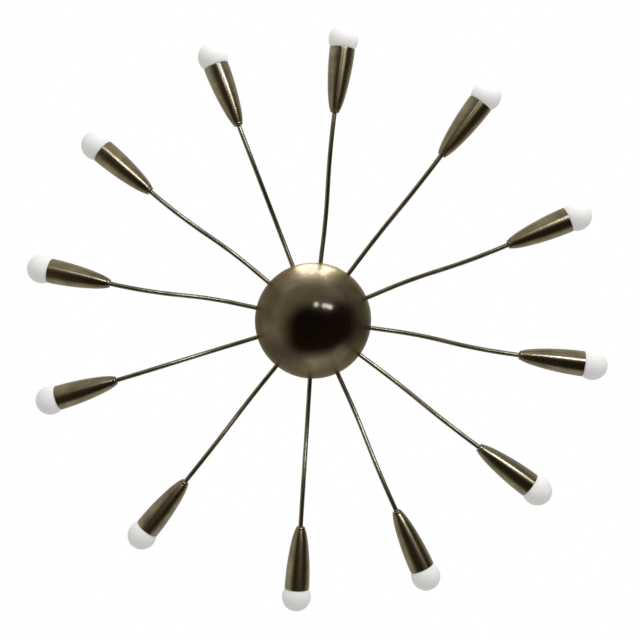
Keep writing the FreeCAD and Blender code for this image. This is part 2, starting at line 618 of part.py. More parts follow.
def distributor_block():
    """Round insulating block with two grooves for its rings and a radial entry for every lead."""
    body = new_body("block_blank")
    points = [
        ("0", "-Worked.block_top"),
        ("Worked.inner_groove_in", "-Worked.block_top"),
        ("Worked.inner_groove_in", "-Worked.groove_floor"),
        ("Worked.inner_groove_out", "-Worked.groove_floor"),
        ("Worked.inner_groove_out", "-Worked.block_top"),
        ("Worked.outer_groove_in", "-Worked.block_top"),
        ("Worked.outer_groove_in", "-Worked.groove_floor"),
        ("Worked.outer_groove_out", "-Worked.groove_floor"),
        ("Worked.outer_groove_out", "-Worked.block_top"),
        ("Sizes.block_radius", "-Worked.block_top"),
        ("Sizes.block_radius", "-Worked.block_low"),
        ("0", "-Worked.block_low"),
    ]
    turn(body, "disc", [(points, None)], "V_Axis")
    holes = []
    for tag in arm_tags:
        place = radial(f"Worked.even_{tag}", "Sizes.block_radius - Sizes.lead_depth", "Worked.entry_z")
        holes.append(cylinder(f"entry_{tag}", "Worked.lead_hole", "2 * Sizes.lead_depth", place))
    for sense, name in (("-1", "left"), ("1", "right")):
        place = upright(f"{sense} * Sizes.pillar_place", "0", "Worked.block_low")
        holes.append(cylinder(f"block_hole_{name}", "Worked.stud_hole", "Sizes.block_height", place))
    keep(cut("drilled_block", body, holes), "distributor_block")


def bus_rings():
    """Neutral ring and live ring, flush with the block's top."""
    body = new_body("bus_rings")
    outlines = []
    for inner, outer in (("Sizes.ring_inner", "Worked.inner_ring_out"),
                         ("Sizes.ring_outer", "Worked.outer_ring_out")):
        points = [
            (inner, "-Worked.block_top"),
            (outer, "-Worked.block_top"),
            (outer, "-Worked.groove_floor"),
            (inner, "-Worked.groove_floor"),
        ]
        outlines.append((points, None))
    turn(body, "rings", outlines, "V_Axis")
    keep(body, "bus_rings")


def terminal_screws():
    """One clamp screw head on each ring for every lead, slotted across."""
    screws = []
    for tag in arm_tags:
        for ring in ("inner", "outer"):
            place = f"Worked.{ring}_clamps"
            azimuth = f"Worked.even_{tag}"
            at = (f"{place} * cos({azimuth})", f"{place} * sin({azimuth})")
            blank = cylinder(f"clamp_{ring}_{tag}", "Sizes.clamp_radius", "Sizes.clamp_height",
                             upright(*at, "Worked.block_top"))
            slot = slab(f"clamp_slot_{ring}_{tag}", "2 * Sizes.clamp_radius", "Sizes.clamp_slot",
                        "Sizes.clamp_slot_depth",
                        upright(f"{at[0]} - Sizes.clamp_radius", f"{at[1]} - Sizes.clamp_slot / 2",
                                "Worked.block_top - Sizes.clamp_height + Sizes.clamp_slot_depth"))
            screws.append(cut(f"clamp_screw_{ring}_{tag}", blank, [slot]))
    keep(group("clamp_screws", screws), "terminal_screws")


def block_pillars():
    """Pillars riveted into the strap, with a stud through the block, and the nuts under the block."""
    pillars, nuts = [], []
    for sense, name in (("-1", "left"), ("1", "right")):
        at = f"{sense} * Sizes.pillar_place"
        post = cylinder(f"pillar_post_{name}", "Sizes.pillar_radius", "Sizes.pillar_height",
                        upright(at, "0", "Worked.block_top"))
        stud = cylinder(f"pillar_stud_{name}", "Sizes.stud_radius", "Worked.stud_length",
                        upright(at, "0", "Worked.stud_end"))
        pillars.append(fuse(f"pillar_{name}", [post, stud]))
        place = upright(at, "0", "Worked.stud_nut_low")
        blank = hexagon(f"stud_nut_blank_{name}", "Worked.stud_nut_corner", "Sizes.stud_nut_height", place)
        hole = cylinder(f"stud_nut_hole_{name}", "Worked.stud_hole", "Sizes.stud_nut_height", place)
        nuts.append(cut(f"stud_nut_{name}", blank, [hole]))
    keep(group("pillars", pillars), "block_pillars")
    keep(group("stud_nuts", nuts), "block_nuts")


def lead_route(tag):
    """Points of one lead in the dome: out of its arm, down, and level into its terminal."""
    arm = math.radians(cell(f"Worked.azimuth_{tag}"))
    even = math.radians(cell(f"Worked.even_{tag}"))
    start = cell("Worked.root_end") - cell("Sizes.lead_gap")
    high = -cell("Sizes.arm_height")
    low = -cell("Worked.entry_z")
    block = cell("Sizes.block_radius")
    stations = [
        (start, arm, high),
        (start - cell("Sizes.lead_straight"), arm, high),
        (block + cell("Sizes.lead_level"), even, low),
        (block - cell("Sizes.lead_depth"), even, low),
    ]
    return [FreeCAD.Vector(r * math.cos(a), r * math.sin(a), z) for r, a, z in stations]


def rounded_wire(points):
    """Straight runs joined by tangent arcs, each as large as its two runs allow."""
    share = 0.45
    edges, radii = [], []
    last = points[0]
    for before, corner, after in zip(points, points[1:], points[2:]):
        back = (before - corner).normalize()
        ahead = (after - corner).normalize()
        trim = share * min((before - corner).Length, (after - corner).Length)
        half = back.getAngle(ahead) / 2
        radii.append(trim * math.tan(half))
        bisector = (back + ahead).normalize()
        middle = corner + bisector * (radii[-1] / math.sin(half) - radii[-1])
        start, end = corner + back * trim, corner + ahead * trim
        edges.append(Part.LineSegment(last, start).toShape())
        edges.append(Part.Arc(start, middle, end).toShape())
        last = end
    edges.append(Part.LineSegment(last, points[-1]).toShape())
    return Part.Wire(edges), radii


def arm_leads():
    """The leads between the arms' inner ends and the distributor."""
    radius = cell("Sizes.lead_radius")
    tubes, tightest = [], []
    for tag in arm_tags:
        points = lead_route(tag)
        wire, radii = rounded_wire(points)
        circle = Part.Circle(points[0], points[1] - points[0], radius).toShape()
        tubes.append(wire.makePipeShell([Part.Wire([circle])], True, False))
        tightest.append(min(radii))
        expected = math.pi * radius ** 2 * wire.Length
        if abs(tubes[-1].Volume - expected) > expected / 1000:
            raise RuntimeError(f"lead {tag} has the wrong volume")
    print("tightest bend of the leads in the dome", round(min(tightest), 2))
    leads = doc.addObject("Part::Feature", "lead_tubes")
    leads.Shape = Part.Compound(tubes)
    keep(leads, "arm_leads")


# Arms

def arm_lock_nuts():
    """Flanged nuts inside the skirt, one on the nipple of every arm."""
    nuts = []
    for tag in arm_tags:
        azimuth = f"Worked.azimuth_{tag}"
        start = radial(azimuth, "Worked.nut_start", "Sizes.arm_height")
        seat = radial(azimuth, "Worked.nut_flange_start", "Sizes.arm_height")
        body = hexagon(f"nut_body_{tag}", "Worked.nut_corner", "Sizes.nut_height", start)
        flange = cylinder(f"nut_flange_{tag}", "Sizes.nut_flange", "Sizes.nut_flange_thick", seat)
        hole = cylinder(f"nut_hole_{tag}", "Worked.root_hole", "Worked.nut_length", start)
        nuts.append(cut(f"nut_{tag}", fuse(f"nut_blank_{tag}", [body, flange]), [hole]))
    keep(group("nuts", nuts), "arm_lock_nuts")


def arm(tag):
    """Tube with two bends, a hollow nipple at its root and a collar with a spigot at its tip."""
    body = new_body(f"arm_{tag}", arm_frame(tag))
    pipe(body, f"tube_{tag}", "Worked.arm_start", "Worked.arm_end", ["Sizes.arm_radius", "Sizes.arm_bore"])
    nipple = [
        ("Worked.root_end", "Sizes.root_bore"),
        ("Worked.arm_start", "Sizes.root_bore"),
        ("Worked.arm_start", "Sizes.root_radius"),
        ("Worked.root_end", "Sizes.root_radius"),
    ]
    turn(body, f"nipple_{tag}", [(nipple, None)], "H_Axis")
    fitting = [
        ("0", "Sizes.arm_bore"),
        ("Worked.fitting_length", "Sizes.arm_bore"),
        ("Worked.fitting_length", "Sizes.spigot_radius"),
        ("Sizes.collar_length", "Sizes.spigot_radius"),
        ("Sizes.collar_length", "Sizes.collar_radius"),
        ("Worked.collar_band", "Sizes.collar_radius"),
        ("0", "Sizes.collar_neck"),
    ]
    turn(body, f"fitting_{tag}", [(fitting, {5: ("Worked.collar_round", 1)})], "H_Axis",
         x="Worked.arm_end", y="Worked.tip_z")
    keep(body, f"arm_{tag}")


def cup(tag):
    """Spun bullet cup: a long gentle curve to the mouth and a tighter one to the pierced end wall."""
    body = new_body(f"cup_{tag}", arm_frame(tag))
    points = [
        ("0", "Worked.spigot_hole"),
        ("0", "Worked.cup_small"),
        ("Sizes.cup_shoulder", "Worked.cup_joint"),
        ("Sizes.cup_length", "Sizes.cup_mouth"),
        ("Sizes.cup_length", "Worked.cup_mouth_in"),
        ("Worked.cup_joint_in_x", "Worked.cup_joint_in_y"),
        ("Sizes.cup_wall", "Worked.cup_small_in"),
        ("Sizes.cup_wall", "Worked.spigot_hole"),
    ]
    arcs = {
        1: ("Worked.cup_crown", -1),
        2: ("Worked.cup_side", -1),
        4: ("Worked.cup_side_in", 1),
        5: ("Worked.cup_crown_in", 1),
    }
    turn(body, f"bullet_{tag}", [(points, arcs)], "H_Axis", x="Worked.tip_x", y="Worked.tip_z")
    keep(body, f"cup_{tag}")


def lampholder(tag):
    """Holder body on the spigot, its threaded shell and centre contact, and its lead in the arm."""
    holder = new_body(f"holder_{tag}", arm_frame(tag))
    housing = [
        ("Sizes.cup_wall", "Worked.spigot_hole"),
        ("Sizes.cup_wall", "Worked.holder_boss"),
        ("Worked.holder_boss_end", "Worked.holder_boss"),
        ("Worked.holder_boss_end", "Worked.holder_base"),
        ("Worked.holder_base_end", "Worked.holder_base"),
        ("Worked.holder_base_end", "Worked.holder_radius"),
        ("Worked.holder_rim", "Worked.holder_radius"),
        ("Worked.holder_rim", "Worked.holder_bore"),
        ("Worked.holder_floor", "Worked.holder_bore"),
        ("Worked.holder_floor", "0"),
        ("Worked.lead_hole_end", "0"),
        ("Worked.lead_hole_end", "Worked.lead_hole"),
        ("Worked.spigot_room", "Worked.lead_hole"),
        ("Worked.spigot_room", "Worked.spigot_hole"),
    ]
    shell = [
        ("Worked.shell_low", "Worked.shell_bore"),
        ("Worked.shell_high", "Worked.shell_bore"),
        ("Worked.shell_high", "Worked.shell_outer"),
        ("Worked.shell_low", "Worked.shell_outer"),
    ]
    contact = [
        ("Worked.holder_floor", "0"),
        ("Worked.contact_top", "0"),
        ("Worked.contact_top", "Sizes.contact_radius"),
        ("Worked.holder_floor", "Sizes.contact_radius"),
    ]
    outlines = [(housing, None), (shell, None)]
    turn(holder, f"housing_{tag}", outlines, "H_Axis", x="Worked.tip_x", y="Worked.tip_z")
    tongue = new_body(f"contact_{tag}", arm_frame(tag))
    turn(tongue, f"tongue_{tag}", [(contact, None)], "H_Axis", x="Worked.tip_x", y="Worked.tip_z")
    lead = new_body(f"lead_{tag}", arm_frame(tag))
    pipe(lead, f"cable_{tag}", "Worked.root_end", "Worked.lead_end", ["Sizes.lead_radius"])
    keep(group(f"holder_set_{tag}", [holder, tongue, lead]), f"lampholder_{tag}")


def bulb(tag):
    """Globe bulb: end contact, insulating cone, screw cap, and a neck that runs into the globe."""
    body = new_body(f"bulb_{tag}", arm_frame(tag))
    points = [
        ("Worked.bulb_tip", "0"),
        ("Worked.bulb_tip", "Sizes.cap_tip_radius"),
        ("Worked.cap_cone_start", "Sizes.cap_tip_radius"),
        ("Worked.cap_start", "Sizes.cap_radius"),
        ("Worked.cap_thread_end", "Sizes.cap_radius"),
        ("Worked.cap_flare_end", "Sizes.cap_skirt_radius"),
        ("Worked.cap_end", "Sizes.cap_skirt_radius"),
        ("Worked.neck_end_x", "Worked.neck_end_y"),
        ("Worked.globe_x", "Sizes.globe_radius"),
        ("Worked.bulb_top", "0"),
    ]
    arcs = {7: ("Sizes.globe_radius", -1), 8: ("Sizes.globe_radius", -1)}
    turn(body, f"globe_{tag}", [(points, arcs)], "H_Axis", x="Worked.tip_x", y="Worked.tip_z")
    keep(body, f"bulb_{tag}")


# Build

arm_tags = [f"{index + 1:02d}" for index in range(ARM_COUNT)]
WORKED.append(("fitting_length", "Sizes.collar_length + spigot_end"))
WORKED.append(("collar_round", "Sizes.collar_length + Sizes.collar_radius - Sizes.collar_neck"))
arm_driving, arm_worked = arm_cells()
fill_sheet("Sizes", [(name, str(value)) for name, value, note in SIZES] + arm_driving)
fill_sheet("Worked", [(name, f"={formula}") for name, formula in WORKED] + arm_worked)
doc.recompute()

canopy_dome()
canopy_set_screws()
ceiling_bracket()
cable_grommet()
earth_terminal()
distributor_block()
bus_rings()
terminal_screws()
block_pillars()
arm_leads()
arm_lock_nuts()
for arm_tag in arm_tags:
    arm(arm_tag)
    cup(arm_tag)
    lampholder(arm_tag)
    bulb(arm_tag)
doc.recompute()

failed = [item.Name for item in doc.Objects if {"Invalid", "Error"} & set(item.State)]
if failed:
    raise RuntimeError(f"these did not build: {failed}")
for node in nodes:
    if node.Shape.isNull() or not node.Shape.isValid() or not node.Shape.Solids:
        raise RuntimeError(f"{node.Label} is not a valid solid")

os.makedirs("parts", exist_ok=True)
for node in nodes:
    node.Shape.exportStep(f"parts/{node.Label}.step")
print(len(nodes), "nodes,", sum(len(node.Shape.Solids) for node in nodes), "solids")
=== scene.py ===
# %% [markdown]
# # A ceiling light with twelve bent arms
#
# The light hangs flat under a ceiling: a spun dome hides the wiring, twelve thin tubes leave its skirt,
# and each tube carries a bullet-shaped cup with a round opal bulb. The engineering model gives every
# piece its place. This script dresses that model: it replaces the pieces that the eye follows with
# smooth surfaces, and it gives every piece the finish of the real one.

# %% Load the engineering model
import json
import math

import bmesh
import bpy
import numpy as np
from mathutils import Matrix


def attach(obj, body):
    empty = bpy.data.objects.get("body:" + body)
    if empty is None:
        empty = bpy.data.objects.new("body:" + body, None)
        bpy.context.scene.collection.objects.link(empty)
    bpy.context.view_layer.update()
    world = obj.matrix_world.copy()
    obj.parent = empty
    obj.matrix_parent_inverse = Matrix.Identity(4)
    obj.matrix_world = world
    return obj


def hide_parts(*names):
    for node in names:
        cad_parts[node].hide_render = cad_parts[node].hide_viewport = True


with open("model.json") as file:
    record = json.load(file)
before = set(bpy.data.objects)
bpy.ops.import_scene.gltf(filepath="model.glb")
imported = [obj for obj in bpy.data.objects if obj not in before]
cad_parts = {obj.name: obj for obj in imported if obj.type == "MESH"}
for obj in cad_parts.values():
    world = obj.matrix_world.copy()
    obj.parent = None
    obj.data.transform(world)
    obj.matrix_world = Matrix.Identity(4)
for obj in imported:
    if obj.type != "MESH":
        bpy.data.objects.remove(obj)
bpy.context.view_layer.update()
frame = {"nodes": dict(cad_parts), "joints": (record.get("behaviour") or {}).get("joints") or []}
scene = bpy.context.scene
MM = 0.001

# %% [markdown]
# ## A surface is a grid of points
#
# Nearly every piece of this light came off a lathe or was drawn as a tube, so each is an outline
# carried round an axis or along a line. One could draw it with the spin tool, but the spin tool leaves
# a seam and no control over the points. Here a piece is a grid: rows along the outline, columns round
# the axis. numpy works out all points at once, and one function turns any such grids into a closed
# mesh. Each point also keeps where it lies on the lathe, so that tool marks can follow the metal.

# %% Faces of a grid
def full_turn(columns):
    """Angles of the columns of a grid: one turn in equal steps."""
    return 2 * np.pi * np.arange(columns) / columns


def grid_faces(rows, columns, loop):
    """Corner numbers of the quads of a grid whose columns close, and whose rows close if loop is true."""
    row = np.arange(rows if loop else rows - 1)[:, None]
    column = np.arange(columns)[None, :]
    here, below, beside = row * columns, (row + 1) % rows * columns, (column + 1) % columns
    corners = [here + column, here + beside, below + beside, below + column]
    return np.stack(np.broadcast_arrays(*corners), axis=-1).reshape(-1, 4)


def grid_turns(rows, columns, along, loop):
    """UV of every quad corner: share of the turn, and the distance along the outline in metres."""
    row = np.arange(rows if loop else rows - 1)
    column = np.arange(columns) / columns
    here, below = along[row], along[(row + 1) % rows]
    u = np.stack([column, column + 1 / columns, column + 1 / columns, column], axis=-1)
    v = np.stack([here, here, below, below], axis=-1)
    shape = (len(row), columns, 4)
    both = [np.broadcast_to(u[None], shape), np.broadcast_to(v[:, None], shape)]
    return np.stack(both, axis=-1).reshape(-1, 4, 2)


def signed_volume(points, faces):
    """Volume inside the faces, negative where they point inwards: the sum of corner-to-origin pyramids."""
    a, b, c, d = (points[faces[:, k]] for k in range(4))
    pyramids = np.einsum("ij,ij->i", a, np.cross(b, c)) + np.einsum("ij,ij->i", a, np.cross(c, d))
    return pyramids.sum() / 6


print("faces of a closed ring of 4 rows and 8 columns", len(grid_faces(4, 8, True)))

# %% Mesh from grids
SHARP = math.radians(38)  # edges that turn by more stay sharp
TINY = 1e-7  # points closer than this count as one


def mesh_from_grids(name, grids, material):
    """One object out of grids of (points, loop): outward faces, UV, lathe coordinates, closed poles."""
    points, faces, turns, lathe = [], [], [], []
    first = 0
    for grid, loop in grids:
        rows, columns = grid.shape[:2]
        along = np.r_[0, np.cumsum(np.linalg.norm(np.diff(grid[:, 0], axis=0), axis=1))]
        angle = full_turn(columns)
        flat = grid.reshape(-1, 3)
        quads, uv = grid_faces(rows, columns, loop), grid_turns(rows, columns, along, loop)
        if signed_volume(flat, quads) < 0:
            quads, uv = quads[:, ::-1], uv[:, ::-1]
        points.append(flat)
        faces.append(quads + first)
        turns.append(uv)
        spun = [np.tile(np.cos(angle), rows), np.tile(np.sin(angle), rows), np.repeat(along, columns)]
        lathe.append(np.stack(spun, axis=-1))
        first += len(flat)
    mesh = bpy.data.meshes.new(name)
    mesh.from_pydata(np.concatenate(points), [], np.concatenate(faces).tolist())
    mesh.uv_layers.new(name="turned").uv.foreach_set("vector", np.concatenate(turns).ravel())
    on_lathe = mesh.attributes.new("lathe", "FLOAT_VECTOR", "POINT")
    on_lathe.data.foreach_set("vector", np.concatenate(lathe).ravel())
    work = bmesh.new()
    work.from_mesh(mesh)
    bmesh.ops.remove_doubles(work, verts=work.verts, dist=TINY)
    work.to_mesh(mesh)
    work.free()
    mesh.shade_smooth()
    mesh.set_sharp_from_angle(angle=SHARP)
    mesh.materials.append(material)
    made = bpy.data.objects.new(name, mesh)
    scene.collection.objects.link(made)
    return made


def settle(piece, body, slot, *nodes):
    """Ties a finished piece to its moving body and hides the CAD nodes it stands for. The slot is not used.
    """
    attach(piece, body)
    if nodes:
        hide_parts(*nodes)


print("edges stay sharp above", round(math.degrees(SHARP)), "degrees")

# %% Outlines
CORNER_SHARE = 0.45  # most that a rounding takes of a side


def turned(outline, columns, origin, axis, side):
    """Grid of an outline of (distance along the axis, radius), carried once round that axis."""
    angle = full_turn(columns)
    spoke = np.cos(angle)[:, None] * side + np.sin(angle)[:, None] * np.cross(axis, side)
    return origin + outline[:, 0, None, None] * axis + outline[:, 1, None, None] * spoke[None]


def rounded(points, radius, steps=5):
    """Outline with its corners rounded: each corner becomes the curve between two points radius away from
    it, or less on a side that is too short for that."""
    points = np.asarray(points, float)
    before, corner, after = points[:-2], points[1:-1], points[2:]
    back, ahead = before - corner, after - corner
    reach_back, reach_ahead = (np.linalg.norm(leg, axis=1, keepdims=True) for leg in (back, ahead))
    reach = np.minimum(radius, CORNER_SHARE * np.minimum(reach_back, reach_ahead))
    start, end = corner + back / reach_back * reach, corner + ahead / reach_ahead * reach
    t = np.linspace(0, 1, steps)[None, :, None]
    bent = (1 - t) ** 2 * start[:, None] + 2 * t * (1 - t) * corner[:, None] + t ** 2 * end[:, None]
    return np.concatenate([points[:1], bent.reshape(-1, 2), points[-1:]])


def dense(points, step):
    """Outline with extra points on its long sides, so that no row of faces is longer than step."""
    points = np.asarray(points, float)
    along = np.r_[0, np.cumsum(np.linalg.norm(np.diff(points, axis=0), axis=1))]
    stations = np.union1d(along, np.arange(0, along[-1], step))
    stations = stations[np.r_[True, np.diff(stations) > TINY]]
    return np.stack([np.interp(stations, along, points[:, k]) for k in (0, 1)], axis=-1)


print("a rounded corner has", len(rounded([(0, 0), (1, 0), (1, 1)], 0.2)) - 2, "points")

# %% [markdown]
# ## Finishes
#
# A material here is a chain of shader nodes. Three small functions are enough for all of them: one
# turns a colour as a painter would write it into the linear light that the renderer adds up, one adds a
# node with its settings and its links, and one starts an empty material. Tool marks read the lathe
# coordinates that the grids stored: the turn round the axis, and the distance along the outline in
# metres.

# %% Colour and node helpers
def linear(hex_colour):
    """Linear RGBA of an sRGB hex colour: a straight line near black, and a power of 2.4 above it."""
    value = np.array([int(hex_colour[k:k + 2], 16) for k in (1, 3, 5)]) / 255
    light = np.where(value <= 0.04045, value / 12.92, ((value + 0.055) / 1.055) ** 2.4)
    return (*light.tolist(), 1.0)


def add(tree, kind, sockets=None, **settings):
    """Adds one node. Settings go on the node, and each socket gets a value or another node's output."""
    made = tree.nodes.new(kind)
    for key, value in settings.items():
        setattr(made, key, value)
    for key, value in (sockets or {}).items():
        if isinstance(value, bpy.types.NodeSocket):
            tree.links.new(value, made.inputs[key])
        else:
            made.inputs[key].default_value = value
    return made


def new_material(name):
    """An empty material and its node tree."""
    material = bpy.data.materials.new(name)
    material.use_nodes = True
    material.node_tree.nodes.clear()
    return material, material.node_tree


print("half grey in linear light", round(linear("#808080")[0], 3))

# %% [markdown]
# ### Burnished brass
#
# The metal is brass that was darkened in a bath, rubbed back with fine abrasive while it turned on the
# lathe, and lacquered. The eye reads three things: a brown that lies deeper in some places, faint marks
# of the abrasive, and highlights that the marks smear across themselves. On a cup the marks run round
# it, so a highlight becomes one thin line along it. The dome's bottom was buffed brighter than its
# sides, so it mirrors the room there, and a tube is plain satin. The colour mixes two browns by a
# cloudy noise with a little of the marks in it. The shader is anisotropic where the marks run round,
# and a clear coat adds the lacquer's whiter gleam.

# %% Burnished brass
NOISE_LOW, NOISE_HIGH = 0.3, 0.7  # most of a noise lies between these
GLOSS_SPREAD = 0.15  # share by which the roughness of a finish varies
SATIN = 2.7  # how many times rougher the dome's sides are than its bottom
MARK_SHARE = 0.25  # part that the tool marks take in the colour, beside the stains
WEAR_LOW, WEAR_HIGH = 0.42, 0.82  # shades at which the brown is deepest, and most worn
MARK_RELIEF_MM = 0.008
EDGE_TINT = "#b3ac9e"  # tint of the metal where it is seen at a slant
QUARTER_TURN = 0.25  # turns the smear of a highlight across the marks
LACQUER_ROUGHNESS = 0.24


def burnished_brass(name, deep, worn, mark, cloud_mm, roughness, anisotropy, lacquer, satin_mm=None):
    """Darkened and rubbed brass under lacquer: mark is the size of a tool mark round the piece, in radii,
    and along it, in mm, cloud_mm the size of the stains, lacquer the weight of the clear coat, and satin_mm
    the heights between which the surface turns from bright to satin. Real marks are about 0.05 mm wide, too
    fine to show, so they are drawn 0.8 mm wide or more."""
    material, tree = new_material(name)
    lathe = add(tree, "ShaderNodeAttribute", attribute_name="lathe").outputs["Vector"]
    place = add(tree, "ShaderNodeTexCoord").outputs["Object"]
    mark_scale = (1 / mark[0], 1 / mark[0], 1 / (mark[1] * MM))
    lines = add(tree, "ShaderNodeMapping", {"Vector": lathe, "Scale": mark_scale})
    marks = add(tree, "ShaderNodeTexNoise", {"Vector": lines.outputs[0], "Scale": 1.0, "Detail": 2.0})
    cloud = add(tree, "ShaderNodeTexNoise", {"Vector": place, "Scale": 1 / (cloud_mm * MM), "Detail": 3.0})
    shade = add(tree, "ShaderNodeMath", {0: marks.outputs["Fac"], 1: MARK_SHARE, 2: cloud.outputs["Fac"]},
                operation="MULTIPLY_ADD")
    wear = add(tree, "ShaderNodeMapRange", {
        "Value": shade.outputs[0], "From Min": WEAR_LOW, "From Max": WEAR_HIGH})
    colour = add(tree, "ShaderNodeMix", {"Factor": wear.outputs[0], "A": linear(deep), "B": linear(worn)},
                 data_type="RGBA")
    gloss = add(tree, "ShaderNodeMapRange", {
        "Value": cloud.outputs["Fac"], "From Min": NOISE_LOW, "From Max": NOISE_HIGH,
        "To Min": roughness * (1 + GLOSS_SPREAD), "To Max": roughness * (1 - GLOSS_SPREAD)})
    if satin_mm:
        height = add(tree, "ShaderNodeSeparateXYZ", {"Vector": place})
        dull = add(tree, "ShaderNodeMapRange", {
            "Value": height.outputs["Z"], "From Min": satin_mm[0] * MM, "From Max": satin_mm[1] * MM,
            "To Min": 1.0, "To Max": SATIN})
        gloss = add(tree, "ShaderNodeMath", {0: gloss.outputs[0], 1: dull.outputs[0]}, operation="MULTIPLY")
    relief = add(tree, "ShaderNodeBump", {
        "Strength": 0.3, "Distance": MARK_RELIEF_MM * MM, "Height": marks.outputs["Fac"]})
    turning = add(tree, "ShaderNodeTangent", direction_type="UV_MAP", uv_map="turned")
    surface = add(tree, "ShaderNodeBsdfPrincipled", {
        "Base Color": colour.outputs["Result"], "Metallic": 1.0, "Roughness": gloss.outputs[0],
        "Specular Tint": linear(EDGE_TINT), "Anisotropic": anisotropy, "Anisotropic Rotation": QUARTER_TURN,
        "Tangent": turning.outputs[0], "Normal": relief.outputs[0],
        "Coat Weight": lacquer, "Coat Roughness": LACQUER_ROUGHNESS})
    add(tree, "ShaderNodeOutputMaterial", {"Surface": surface.outputs[0]})
    return material


dome_brass = burnished_brass("burnished_brass_dome", "#443a29", "#60543f", mark=(1.0, 1.5), cloud_mm=45,
                             roughness=0.15, anisotropy=0.1, lacquer=0.16, satin_mm=(-106, -80))
cup_brass = burnished_brass("burnished_brass_cup", "#594d33", "#7d704f", mark=(1.0, 0.8), cloud_mm=22,
                            roughness=0.3, anisotropy=0.82, lacquer=0.8)
tube_brass = burnished_brass("burnished_brass_tube", "#59533f", "#7f775d", mark=(0.6, 12.0), cloud_mm=18,
                             roughness=0.33, anisotropy=0.0, lacquer=0.4)
print("finishes", dome_brass.name, cup_brass.name, tube_brass.name)

# %% [markdown]
# ### Opal, phenolic, plated steel and the rest
#
# The bulbs are opal: a satin white skin that scatters light. The lampholders and the distributor are
# black phenolic moulding, the bracket is zinc-plated steel with a spangle of pale and dark crystals,
# the small terminal parts are plain turned brass, the leads have a soft PVC sheath and the cable bush
# is rubber. Each is mostly one shader with a noise that breaks its colour and its gloss at the scale of
# the real material.

# %% The other finishes
def plain_finish(name, dark, light, grain_mm, roughness, metallic=0.0, relief_mm=0.01, **sockets):
    """A moulded, plated or turned finish: two near colours in grains, with gloss and relief to match."""
    material, tree = new_material(name)
    place = add(tree, "ShaderNodeTexCoord").outputs["Object"]
    grain = add(tree, "ShaderNodeTexNoise", {
        "Vector": place, "Scale": 1 / (grain_mm * MM), "Detail": 5.0, "Roughness": 0.6})
    colour = add(tree, "ShaderNodeMix", {
        "Factor": grain.outputs["Fac"], "A": linear(dark), "B": linear(light)}, data_type="RGBA")
    gloss = add(tree, "ShaderNodeMapRange", {
        "Value": grain.outputs["Fac"], "From Min": NOISE_LOW, "From Max": NOISE_HIGH,
        "To Min": roughness * (1 - GLOSS_SPREAD), "To Max": roughness * (1 + GLOSS_SPREAD)})
    relief = add(tree, "ShaderNodeBump", {
        "Strength": 0.2, "Distance": relief_mm * MM, "Height": grain.outputs["Fac"]})
    surface = add(tree, "ShaderNodeBsdfPrincipled", {
        "Base Color": colour.outputs["Result"], "Metallic": metallic, "Roughness": gloss.outputs[0],
        "Normal": relief.outputs[0], **sockets})
    add(tree, "ShaderNodeOutputMaterial", {"Surface": surface.outputs[0]})
    return material


opal = plain_finish("opal_satin", "#efefee", "#f7f7f6", grain_mm=6, roughness=0.6, IOR=1.4)
phenolic = plain_finish("phenolic_black", "#141210", "#211d1a", grain_mm=3, roughness=0.38, relief_mm=0.03)
zinc = plain_finish("zinc_plated_steel", "#8d9092", "#c4c6c5", grain_mm=2.5, roughness=0.32, metallic=1.0)
turned_brass = plain_finish("turned_brass", "#a98a4c", "#c9ab6a", grain_mm=0.8, roughness=0.28, metallic=1.0)
screw_brass = plain_finish("darkened_brass_screw", "#4a3f2c", "#64583f", grain_mm=0.8, roughness=0.35,
                           metallic=1.0)
nickel = plain_finish("nickel_plated_cap", "#a9a7a0", "#cfcdc6", grain_mm=1.5, roughness=0.24, metallic=1.0)
sheath = plain_finish("pvc_sheath", "#c9c4b6", "#dcd8cc", grain_mm=4, roughness=0.5)
rubber = plain_finish("rubber_bush", "#141414", "#222121", grain_mm=2, roughness=0.7, relief_mm=0.05)
print("finishes", len(bpy.data.materials))

# %% [markdown]
# ## The dome
#
# The canopy is one sheet of brass spun over a form: a half sphere that runs straight into a skirt, with
# the rim folded back on itself for stiffness. Its outline is a closed loop of outside, fold and inside,
# so the sheet has real thickness where one looks into it from above. The skirt is then drilled: twelve
# holes for the arms, and two for the screws that hold the dome on the bracket. A drill is a turned
# cylinder, and a Boolean takes it out of the sheet, as on the bench. Two small bosses inside the skirt
# carry the screws' threads. Here and below, the light's lengths are in millimetres and its angles in
# degrees.

# %% Outlines of the dome and its bosses
DOME = {"radius": 90.0, "wall": 1.2, "skirt": 26.0, "hem": 4.0, "fold": 1.2, "rim_round": 0.9, "row": 3.0,
        "columns": 192}
BOSS = {"radius": 5.0, "length": 4.0, "hole": 2.06, "drop": 14.0, "countersink": 0.4, "chamfer": 0.3,
        "columns": 32}


def dome_outline():
    """Closed loop of (depth below the ceiling, radius): straight skirt, quarter circle, and back inside by
    the thickness of the sheet."""
    r, wall, skirt = DOME["radius"], DOME["wall"], DOME["skirt"]
    bend = np.linspace(0, np.pi / 2, 73)
    outside = np.stack([skirt + r * np.sin(bend), r * np.cos(bend)], axis=-1)
    inside = np.stack([skirt + (r - wall) * np.sin(bend), (r - wall) * np.cos(bend)], axis=-1)[::-1]
    hem = r - wall - DOME["fold"]
    rim = [(skirt, r - wall), (DOME["hem"], r - wall), (DOME["hem"], hem), (0, hem), (0, r), (skirt, r)]
    rim = dense(rounded(rim, DOME["rim_round"]), DOME["row"])
    return np.concatenate([rim[:-1], outside, inside[:-1]])


